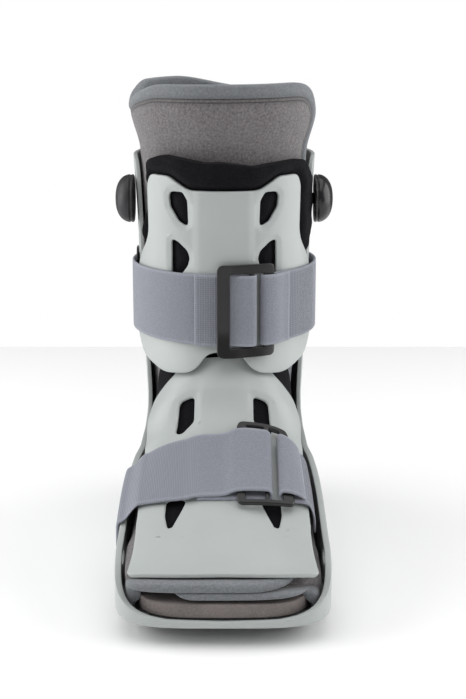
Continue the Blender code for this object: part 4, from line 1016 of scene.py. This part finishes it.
def rings_round(holes, width):
    """Guide lines at the foot and at the middle of each dished rim."""
    return [(shifted(even_loop(hole, 0.0015), width * share), True) for hole in holes for share in (0.5, 1.0)]


def band_guides(band, shoulder, low, high, count):
    """Guide lines along both sides of a panel's raised middle band."""
    places = [side * x for x in (band, band + shoulder) for side in (-1, 1)]
    return [([Vector((u, v)) for v in np.linspace(low, high, count)], False) for u in places]


def shin_panel_loops():
    right = shin_outline(SHIN_PANEL)
    holes = [round_corners(shin_outline(hole, side)) for side in (-1, 1) for hole in SHIN_HOLES]
    return round_corners(mirrored(right[1:-1]) + right), holes


def shin_panel():
    """Front panel with a raised middle band and four dished openings."""
    rim, holes = shin_panel_loops()
    band, shoulder = 0.0175, 0.0055
    dish_width = 0.0042
    dish = dished(holes, dish_width, 0.0010)
    guides = rings_round(holes, dish_width) + band_guides(band, shoulder, 0.155, 0.280, 90)

    def relief(u, v):
        fade = ramp(v, 0.160, 0.185)
        raised = 0.0011 * (1 - ramp(np.abs(u), band, band + shoulder)) * fade
        return dish(u, v) + raised

    def spot(arc, z, depth):
        return shin_point(arc, z, -depth)

    points, faces = plain_sheet(rim, holes, 0.0017, spot, PANEL_WALL, 0.0009, front=relief, guides=guides)
    return make_piece("shin_front_panel", points, faces, PANEL, ["shin_panel"])


def foot_panel():
    """Instep panel with a raised middle band and four dished openings."""
    right = foot_outline(FOOT_PANEL)
    rim = round_corners(mirrored(right[1:]) + right)
    holes = [[round_corners(foot_outline(hole, side)) for side in (-1, 1)] for hole in FOOT_HOLES]
    upper_dish, lower_dish = 0.0048, 0.0105
    small, large = dished(holes[0], upper_dish, 0.0011), dished(holes[1], lower_dish, 0.0013)
    guides = rings_round(holes[0], upper_dish) + rings_round(holes[1], lower_dish)
    band, shoulder = 0.0135, 0.0045
    guides += band_guides(band, shoulder, 0.070, 0.165, 70)

    def relief(u, v):
        fade = ramp(v, 0.060, 0.085) * (1 - ramp(v, 0.150, 0.168))
        raised = 0.0009 * (1 - ramp(np.abs(u), band, band + shoulder)) * fade
        return small(u, v) + large(u, v) + raised

    points, faces = plain_sheet(rim, holes[0] + holes[1], 0.0018, foot_point, PANEL_WALL, 0.0009,
                                front=relief, guides=guides)
    return make_piece("foot_front_panel", points, faces, PANEL, ["foot_panel"])


def buckle(name, node, bars, raised, centre, half_run, surface):
    """Three bars between two rails, with rounded edges."""
    first, second, third = bars
    inner = STRAP_WIDTH / 2 + 2 * GAP
    rim = round_corners([(first[0], centre - half_run, 0.005), (third[1], centre - half_run, 0.004),
                         (third[1], centre + half_run, 0.004), (first[0], centre + half_run, 0.005)])
    holes = []
    for low, high in ((first[1], second[0]), (second[1], third[0])):
        holes.append(round_corners([(low, centre - inner, 0.0008), (high, centre - inner, 0.0008),
                                    (high, centre + inner, 0.0008), (low, centre + inner, 0.0008)]))

    def spot(u, w, depth):
        low = mix(HIGH_BAR if raised else BAR_LOW, BAR_LOW, ease(u, first[1], second[0]))
        return surface(u, w, low + BUCKLE_BAR - depth)

    points, faces = plain_sheet(rim, holes, 0.0012, spot, BUCKLE_BAR, 0.0008)
    return make_piece(name, points, faces, BLACK, [node])


def strap_anchor():
    """The plate on the left upright that holds the shin strap off the shell."""
    low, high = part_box("strap_anchor")
    rim = round_corners([(low[1], low[2], 0.002), (high[1], low[2], 0.002), (high[1], high[2], 0.003),
                         (low[1], high[2], 0.003)])
    base = high[0] - low[0]

    def spot(y, z, depth):
        outer, inner = -panel_half(z) + SOFT_GAP, -rear_size(z)[0] - GAP
        return Vector((mix(outer, inner, depth / base), y, z))

    points, faces = plain_sheet(rim, [], 0.0015, spot, base, 0.0006)
    return make_piece("strap_keeper", points, faces, BLACK, ["strap_anchor"])


# The dial's notch: its depth, and the half-widths of its floor and of its mouth
NOTCH_DEPTH, NOTCH = 0.0008, (0.0006, 0.0013)


def knob(name, node, body, side, spindle, material, notch):
    """A domed knob turned about X on its base plate."""
    low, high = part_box(node)
    centre = (low + high) / 2
    tip = high[0] if side > 0 else low[0]
    base = abs(tip) - KNOB_HEIGHT
    profile = [(KNOB_RADIUS - 0.0008, 0.0), (KNOB_RADIUS - 0.0002, 0.0003), (KNOB_RADIUS, 0.0009),
               (KNOB_RADIUS, 0.0018), (KNOB_RADIUS - 0.0005, 0.0021), (KNOB_RADIUS - 0.0005, 0.0026),
               (KNOB_RADIUS, KNOB_EDGE)]
    dome = KNOB_HEIGHT - KNOB_EDGE
    for angle in np.linspace(0, math.pi / 2, 22)[1:-1]:
        profile.append((KNOB_RADIUS * math.cos(angle) ** 0.8, KNOB_EDGE + dome * math.sin(angle)))
    start = 0.0
    if spindle:
        start = -(base - abs(low[0]))
        profile = [(SPINDLE_RADIUS, start), (SPINDLE_RADIUS, 0.0)] + profile
    sides = 96
    points = [Vector((start, 0.0, 0.0))]
    for radius, height in profile:
        for k in range(sides):
            a = 2 * math.pi * k / sides
            y, z = radius * math.cos(a), radius * math.sin(a)
            cut = 0.0
            if notch and height > KNOB_EDGE and z > 0.35 * KNOB_RADIUS:
                cut = NOTCH_DEPTH * (1 - ramp(abs(y), *NOTCH))
            points.append(Vector((height - cut, y, z)))
    points.append(Vector((KNOB_HEIGHT, 0.0, 0.0)))
    faces = [(0, 1 + k, 1 + (k + 1) % sides) for k in range(sides)]
    for row in range(len(profile) - 1):
        for k in range(sides):
            a, b = 1 + row * sides + k, 1 + row * sides + (k + 1) % sides
            faces.append((a, a + sides, b + sides, b))
    last = len(points) - 1
    faces += [(last, last - sides + (k + 1) % sides, last - sides + k) for k in range(sides)]
    placed = [Vector((side * (base + p.x), centre.y + p.y, centre.z + p.z)) for p in points]
    return make_piece(name, placed, faces, material, [node], body)


# Webbing

def arc_of(centre, radius, start, end, steps=16):
    turns = [math.radians(mix(start, end, k / steps)) for k in range(steps + 1)]
    return [(centre[0] + radius * math.cos(a), centre[1] + radius * math.sin(a)) for a in turns]


def smooth_path(points, step):
    """Even points along a path whose corners are rounded."""
    points = [Vector(p) for p in points]
    for _ in range(3):
        cut = [points[0]]
        for a, b in zip(points, points[1:]):
            cut += [a.lerp(b, 0.25), a.lerp(b, 0.75)]
        points = cut + [points[-1]]
    lengths = [(b - a).length for a, b in zip(points, points[1:])]
    marks = np.concatenate([[0.0], np.cumsum(lengths)])
    even = []
    for at in np.linspace(0, marks[-1], round(marks[-1] / step) + 1):
        i = min(int(np.searchsorted(marks, at, side="right")) - 1, len(lengths) - 1)
        even.append(points[i].lerp(points[i + 1], (at - marks[i]) / max(lengths[i], 1e-12)))
    return even


# Where the webbing's weaves change, along the shin strap from its bars' middle and from its sewn end
SHIN_SEWN, SHIN_NET, SHIN_HOOKS, SHIN_HOOKS_END = 0.022, 0.045, 0.060, 0.085
# The same for the foot strap
FOOT_RIBS, FOOT_NET, FOOT_HOOKS = -0.0185, -0.0045, 0.016
FOOT_STEP = 0.0014
SELVAGE = 0.0009


def strap(name, nodes, path, centre, width, surface, zones, step=0.0016):
    """Webbing along a path of (along, height). zones(at, side, total) names the weave at a place of it."""
    path = smooth_path(path, step)
    half, thick = width / 2, STRAP_WALL / 2
    flat = half - SELVAGE
    bend = half - SELVAGE / 3
    ring = [(flat, thick), (bend, 0.78 * thick), (half, 0.0), (bend, -0.78 * thick), (flat, -thick)]
    inner = np.linspace(flat, -flat, 30)[1:-1]
    ring = [(w, thick) for w in inner[::-1]] + ring + [(w, -thick) for w in inner]
    ring += [(-w, n) for w, n in reversed(ring[len(inner):len(inner) + 5])]
    count = len(ring)
    points, layers = [], {key: [] for key in ("along", "across", "ribs", "grid", "hooks", "selvage")}
    total = 0.0
    for i, here in enumerate(path):
        total += (here - path[i - 1]).length if i else 0.0
        ahead = path[min(i + 1, len(path) - 1)] - path[max(i - 1, 0)]
        normal = Vector((-ahead.y, ahead.x)).normalized()
        end = min(i, len(path) - 1 - i)
        thin = (0.55, 0.9)[end] if end < 2 else 1.0
        for w, n in ring:
            spot = here + normal * n * thin
            points.append(surface(spot.x, centre + w, spot.y))
            weave = zones(here.x, 1 if n > 0 else -1, total)
            layers["along"].append(total)
            layers["across"].append(w)
            for key in ("ribs", "grid", "hooks"):
                layers[key].append(1.0 if weave == key else 0.0)
            layers["selvage"].append(1.0 if abs(w) > half - 0.0010 or end < 1 else 0.0)
    faces = []
    for i in range(len(path) - 1):
        for k in range(count):
            a, b = i * count + k, i * count + (k + 1) % count
            faces.append((a, b, b + count, a + count))
    faces.append(tuple(range(count)))
    faces.append(tuple((len(path) - 1) * count + k for k in reversed(range(count))))
    return make_piece(name, points, faces, STRAP, nodes, layers=layers)


def shin_strap():
    """From its sewn end over the middle bar, round the leg, and back over the right bar."""
    middle = (sum(SHIN_BARS[1]) / 2, LAYER_1 + LOOP)
    right = (SHIN_BARS[2][0] + BUCKLE_BAR / 2 - SHIN_TURN, LAYER_1 + LOOP)
    back = CALF_ROUND - SHIN_DEPTH + SOFT_GAP + STRAP_WALL / 2
    path = [(-0.020, LAYER_2), (SHIN_BARS[0][1] + 0.0025, LAYER_2), (middle[0] - 0.004, LAYER_TOP)]
    path += arc_of(middle, LOOP, 90, -90)
    path += [(-0.030, LAYER_1), (-SHIN_TURN * 0.3, LAYER_1), (-SHIN_TURN * 0.4, back),
             (-SHIN_TURN * 0.6, back), (-SHIN_TURN * 0.7, LAYER_1), (right[0] + 0.008, LAYER_1)]
    path += arc_of(right, LOOP, 270, 90)
    path += [(SHIN_BARS[2][1] - SHIN_TURN, LAYER_TOP), (0.0435 - SHIN_TURN, LAYER_2),
             (0.0485 - SHIN_TURN, LAYER_2)]

    def zones(at, side, total):
        if total < SHIN_SEWN:
            return "grid"
        if side < 0 and SHIN_NET - SHIN_TURN < at < SHIN_HOOKS - SHIN_TURN:
            return "grid"
        return "hooks" if side < 0 and SHIN_HOOKS - SHIN_TURN <= at < SHIN_HOOKS_END - SHIN_TURN else ""

    return strap("shin_webbing", ["shin_strap"], path, SHIN_STRAP_Z, STRAP_WIDTH, shin_point, zones)


def foot_strap():
    """From its sewn end over the middle bar, back over the instep and down outside the left wall."""
    wall = side_half_width(FOOT_STRAP_Y, 0.0)
    middle = (sum(FOOT_BARS[1]) / 2, LAYER_1 + LOOP)
    over = wall + GAP + STRAP_WALL / 2 + 0.0006
    path = [(-0.018, LAYER_1)] + arc_of(middle, LOOP, -90, 90)
    path += [(FOOT_BARS[0][0] - 0.001, LAYER_TOP), (0.001, LAYER_2), (-0.019, LAYER_2), (-0.026, LAYER_1),
             (-FOOT_STRAP_FLAT + 0.006, LAYER_1), (-0.058, 0.0028), (-wall + 0.003, 0.0030),
             (-over + 0.0008, 0.0014), (-over, -0.0015), (-over, -0.024)]

    def zones(at, side, total):
        if at < FOOT_RIBS:
            return "ribs"
        return "grid" if at < FOOT_NET and side > 0 else ""

    return strap("foot_webbing", ["foot_strap"], path, FOOT_STRAP_Y, FOOT_STRAP_RUN, foot_wrap, zones,
                 FOOT_STEP)


def foot_strap_end():
    """The strap's other half, from inside the right wall up and back over the right bar."""
    wall = side_half_width(FOOT_STRAP_Y, 0.0)
    inside = wall - LIP_WIDTH - STRAP_WALL / 2 - 2.8 * SOFT_GAP
    right = (FOOT_BARS[2][0] + BUCKLE_BAR / 2, LAYER_1 + LOOP)
    path = [(inside, -0.012), (inside, -0.004), (inside - 0.0008, -0.0005), (inside - 0.003, 0.0022),
            (FOOT_STRAP_FLAT - 0.002, LAYER_1 + 1.4 * SOFT_GAP), (0.0485, LAYER_1 + 0.4 * SOFT_GAP)]
    path += arc_of(right, LOOP, 270, 90)
    path += [(FOOT_BARS[2][1] - 0.001, LAYER_TOP), (0.0515, LAYER_TOP - 0.0012), (0.0545, LAYER_2 + 0.0012)]

    def zones(at, side, total):
        return "hooks" if total < FOOT_HOOKS else ""

    return strap("foot_webbing_end", ["foot_strap_end"], path, FOOT_STRAP_Y, FOOT_STRAP_RUN, foot_wrap, zones,
                 FOOT_STEP)


# Soft layers

LINER_SCALE = 0.064
# The stitched seams' distances from the liner's edge, and the half-width of their guide lines
SEAMS, SEAM_SIDE = (0.0098, 0.0122), 0.0006
# The angles in degrees where the inner and outer flaps end, on the leg and on the foot
LEG_LAPS, FOOT_LAPS = (-52, 76), (-30, 40)


def lap_angles(run):
    """Where the liner's inner and outer flaps end, round the leg or foot."""
    foot = 1 - ease(run, 0.3 * LENGTH, LEG_START)
    inner, outer = (math.radians(mix(a, b, foot)) for a, b in zip(LEG_LAPS, FOOT_LAPS))
    return inner, outer, foot


def liner_point(u, run, depth):
    """A point of the liner; u is the angle along its band as a length, 0 at the back."""
    angle = math.pi + u / LINER_SCALE
    _, lap_out, foot = lap_angles(run)
    wall = mix(LINER_WALL, LINER_FOOT_WALL, foot)
    above = max(run - leg_run(SHELL_TOP), 0.0) / (LINER_TOP - SHELL_TOP)
    tuck = wall + GAP + LAP_LOOSE * min(3 * above, 1.0)
    tuck *= 1 - ease(angle, lap_out + 0.1, lap_out + 0.9)
    lower = run - above * (LINER_TOP - SHELL_TOP) * liner_drop(math.degrees(angle))
    p = keep_inside(body_point(angle, lower, -tuck - depth), LINER_INSET + tuck + depth)
    if above > 0:
        sway = noise.noise(Vector((p.x, p.y, p.z)) * 28)
        p += Vector((math.sin(angle), -math.cos(angle), 0.0)) * 0.0016 * sway * min(3 * above, 1.0)
    return p


def liner_wall(u, run):
    """The liner's thickness, thin where it lies under the insole."""
    angle = math.pi + u / LINER_SCALE
    _, lap_out, foot = lap_angles(run)
    wall = mix(LINER_WALL, LINER_FOOT_WALL, foot)
    tuck = (wall + GAP) * (1 - ease(angle, lap_out + 0.1, lap_out + 0.9))
    low = body_point(angle, run, -tuck).z
    return mix(LINER_UNDER, wall, ease(low, FLOOR_TOP + 0.002, FLOOR_TOP + 0.011))


def liner():
    """The band starts under the front flap, goes round by the right, the back and the left, and laps over."""
    step = 0.0040
    top = leg_run(LINER_TOP)
    right, left = [], []
    for run in np.linspace(LINER_TOE_GAP, top, 60):
        lap_in, lap_out, _ = lap_angles(run)
        right.append((LINER_SCALE * (math.pi + lap_out), run, 0))
        left.append((LINER_SCALE * (lap_in - math.pi), run, 0))
    outer = [(right[0][0], LINER_TOE_GAP, 0.034)] + right[9:-17] + [(right[-1][0], top, 0.034)]
    inner = [(left[-1][0], top, 0.010)] + left[::-1][2:-5] + [(left[0][0], LINER_TOE_GAP - 0.0016, 0.013)]
    rim = round_corners(outer + inner, 16)
    loop = even_loop(rim, 0.0030)
    marks = [seam + shift for seam in SEAMS for shift in (-SEAM_SIDE, 0.0, SEAM_SIDE)]
    guides = [(even_loop(shifted(loop, -place), 0.0024), True) for place in marks]

    def relief(u, v):
        away = distance_to(loop, u, v)
        fold = 0.0009 * np.sin(np.clip(away / SEAMS[0], 0, 1) * math.pi)
        for seam in SEAMS:
            fold -= 0.0010 * (1 - ramp(np.abs(away - seam), 0.0, 0.0007))
        return fold

    points, faces, (verts, _, count) = sheet([loop], [loop_normals(loop)], step, liner_point, liner_wall,
                                             0.0026, front=relief, guides=guides)
    u, v = np.array([tuple(p) for p in verts]).T
    away = distance_to(loop, u, v)
    bound = np.ones(len(points))
    bound[:count] = 1 - ramp(away, SEAMS[0] - 0.0004, SEAMS[0])
    bound[count:2 * count] = bound[:count]
    stitched = np.zeros(len(points))
    for seam in SEAMS:
        stitched[:count] = np.maximum(stitched[:count], 1 - ramp(np.abs(away - seam), 0.0003, 0.0008))
    return make_piece("padded_liner", points, faces, PILE, ["liner"],
                      layers={"binding": bound, "stitching": stitched})


# The shin pad's outline, as (arc, z, radius), clockwise from its lower right corner
SHIN_PAD = ((0.078, 0.165, 0.010), (0.080, 0.2205, 0.010), (0.0875, 0.262, 0.012), (0.088, 0.2775, 0.010),
            (0.070, 0.2895, 0.012), (0.055, 0.2895, 0.020), (0.036, 0.2885, 0.020), (0.0235, 0.2873, 0.020),
            (-0.0015, 0.2905, 0.020), (-0.014, 0.290, 0.020), (-0.033, 0.2925, 0.020), (-0.050, 0.294, 0.012),
            (-0.066, 0.289, 0.010), (-0.0705, 0.276, 0.010), (-0.069, 0.262, 0.008), (-0.0745, 0.222, 0.010),
            (-0.072, 0.165, 0.010))


def folds(u, v, scale, seed):
    """Soft folds for arrays u and v, from about -1 to 1."""
    return np.array([noise.noise(Vector((a * scale, b * scale * 1.3, seed))) for a, b in zip(u, v)])


def shin_pad():
    """Black air pad between the liner and the shin panel; it swells beyond the panel and in its openings."""
    panel, holes = shin_panel_loops()
    panel = even_loop(panel, 0.003)
    under = PANEL_WALL + 1.2 * SOFT_GAP
    strap_low, strap_high = SHIN_STRAP_Z - STRAP_WIDTH / 2, SHIN_STRAP_Z + STRAP_WIDTH / 2

    def puff(u, v):
        away = np.where(contains(panel, u, v), 0.0, distance_to(panel, u, v))
        held = ramp(v, strap_low - 0.003, strap_low) * (1 - ramp(v, strap_high, strap_high + 0.004))
        swell = np.sin(ramp(away, 0.0004, 0.0075) * math.pi / 2)
        rise = swell * (0.0056 - 0.0024 * held + 0.0016 * folds(u, v, 62, 3.1) * (1 - held))
        for hole in holes:
            rise += contains(hole, u, v) * 0.0016 * ramp(distance_to(hole, u, v), 0.0006, 0.005)
        return rise + 0.0003 * folds(u, v, 180, 7.7)

    def spot(arc, z, depth):
        return shin_point(arc, z, -under - depth)

    def thickness(arc, z):
        return mix(0.0028, 0.0042, math.cos(arc / SHIN_HALF_WIDTH))

    loop = even_loop(round_corners(list(SHIN_PAD)[::-1]), 0.0024)
    points, faces, _ = sheet([loop], [loop_normals(loop)], 0.0024, spot, thickness, 0.0013, front=puff)
    item = make_piece("shin_air_pad", points, faces, PAD, ["shin_pad"])
    return item


def foot_pad():
    """Black pad between the liner and the foot panel."""
    right = foot_outline(FOOT_PAD)
    rim = round_corners(mirrored(right) + right)

    def spot(u, run, depth):
        return foot_point(u, run, PANEL_WALL + 1.3 * SOFT_GAP + depth)

    def relief(u, v):
        return 0.0005 * folds(u, v, 90, 1.7)

    points, faces = plain_sheet(rim, [], 0.0030, spot, 0.0028, 0.0013, front=relief)
    item = make_piece("foot_air_pad", points, faces, PAD, ["foot_pad"])
    return item


def insole():
    """Foam sole board inside the liner, with softly rounded edges."""
    low = FLOOR_TOP + LINER_UNDER + 2 * SOFT_GAP
    outline = []
    for run in np.linspace(-FULL_RUN, FULL_RUN, 161)[:-1]:
        y = shell_point(run, SOLE_HEIGHT).y
        wall = mix(LINER_FOOT_WALL, LINER_WALL + 4.5 * SOFT_GAP, ease(y, TOE_START, 0.0))
        inset = LINER_INSET + wall + STRAP_ROOM + SOFT_GAP
        spot = shell_point(run, SOLE_HEIGHT, inset)
        if spot.y < TOE_START:
            reach = (TOE_START - spot.y) / (TOE_ROUND - inset)
            narrower = 1 - INSOLE_TOE_IN * reach**2
            spot = Vector((spot.x * narrower, TOE_START - reach * (TOE_ROUND - INSOLE_FRONT)))
        outline.append(Vector((spot.x, min(spot.y, HEEL_Y - INSOLE_BACK))))
    loop = even_loop(outline, 0.0030)
    points, faces, _ = sheet([loop], [loop_normals(loop)], 0.0045, level(INSOLE_TOP),
                             lambda x, y: INSOLE_TOP - low, 0.0012)
    item = make_piece("foam_insole", points, faces, FOAM, ["insole"])
    return item


def build():
    base_shell()
    outsole()
    insole()
    liner()
    shin_panel()
    shin_pad()
    foot_panel()
    foot_pad()
    shin_strap()
    strap_anchor()
    foot_strap()
    foot_strap_end()
    buckle("shin_slide", "shin_buckle", SHIN_BARS, True, SHIN_STRAP_Z, BUCKLE_LENGTH / 2, shin_point)
    buckle("foot_slide", "foot_buckle", FOOT_BARS, False, FOOT_STRAP_Y, FOOT_BUCKLE_RUN / 2, foot_wrap)
    knob("bulb", "pump_bulb", "boot", -1, False, BULB, False)
    knob("dial", "selector_dial", "dial", 1, True, DIAL, True)


# Studio

CAMERA_PLACE, CAMERA_DOWN, CAMERA_LENS = (0.0065, -0.995, 0.426), 15.06, 74.47
SENSOR = 36.0
# How bright the surroundings are as a light, and as the backdrop that the camera sees
WORLD_LIGHT, BACKDROP = 0.19, 1.0


def soft_box(name, place, target, width, height, power):
    light = bpy.data.lights.new(name, "AREA")
    light.shape = "RECTANGLE"
    light.size, light.size_y = width, height
    light.energy = power
    item = bpy.data.objects.new(name, light)
    item.location = place
    item.rotation_euler = (Vector(target) - Vector(place)).to_track_quat("-Z", "Y").to_euler()
    bpy.context.scene.collection.objects.link(item)


def studio():
    """White floor, soft boxes at both sides and above, a weak card in front, and the photograph's camera."""
    mesh = bpy.data.meshes.new("floor")
    near, far, side = -1.3, 0.6, 1.3
    mesh.from_pydata([(-side, near, 0), (side, near, 0), (side, far, 0), (-side, far, 0)], [], [(0, 1, 2, 3)])
    floor = bpy.data.objects.new("floor", mesh)
    bpy.context.scene.collection.objects.link(floor)
    material, tree, shader = new_material("floor_paper")
    tone = spread(tree, grain(tree, 3.0, 2.0), 0.3, 0.7)
    paint(tree, shader, blend_colours(tree, tone, (0.93, 0.93, 0.93), (0.95, 0.95, 0.95)))
    shader.inputs["Roughness"].default_value = 0.9
    mesh.materials.append(material)
    aim = (0.0, 0.0, 0.17)
    soft_box("left_box", (-1.10, -0.02, 0.44), aim, 1.2, 1.3, 15.5)
    soft_box("right_box", (1.10, 0.00, 0.44), aim, 1.2, 1.3, 13.5)
    soft_box("top_box", (0.0, -0.10, 1.50), aim, 1.8, 1.8, 15.0)
    soft_box("front_card", (0.0, -1.25, 0.10), (0.0, -0.1, 0.04), 1.0, 0.4, 1.4)
    world = bpy.data.worlds.new("studio")
    bpy.context.scene.world = world
    world.use_nodes = True
    tree = world.node_tree
    seen = add(tree, "ShaderNodeLightPath").outputs["Is Camera Ray"]
    levels = {0: seen, 2: WORLD_LIGHT, 3: BACKDROP}
    strength = add(tree, "ShaderNodeMix", levels, data_type="FLOAT").outputs[0]
    sky = tree.nodes["Background"]
    sky.inputs["Color"].default_value = (1.0, 1.0, 1.0, 1.0)
    tree.links.new(strength, sky.inputs["Strength"])
    lens = bpy.data.cameras.new("camera")
    lens.sensor_width = SENSOR
    lens.lens = CAMERA_LENS
    camera = bpy.data.objects.new("camera", lens)
    camera.location = CAMERA_PLACE
    camera.rotation_euler = (math.radians(90 - CAMERA_DOWN), 0.0, 0.0)
    bpy.context.scene.collection.objects.link(camera)
    bpy.context.scene.camera = camera
    bpy.context.scene.view_settings.view_transform = "Standard"


studio()
build()
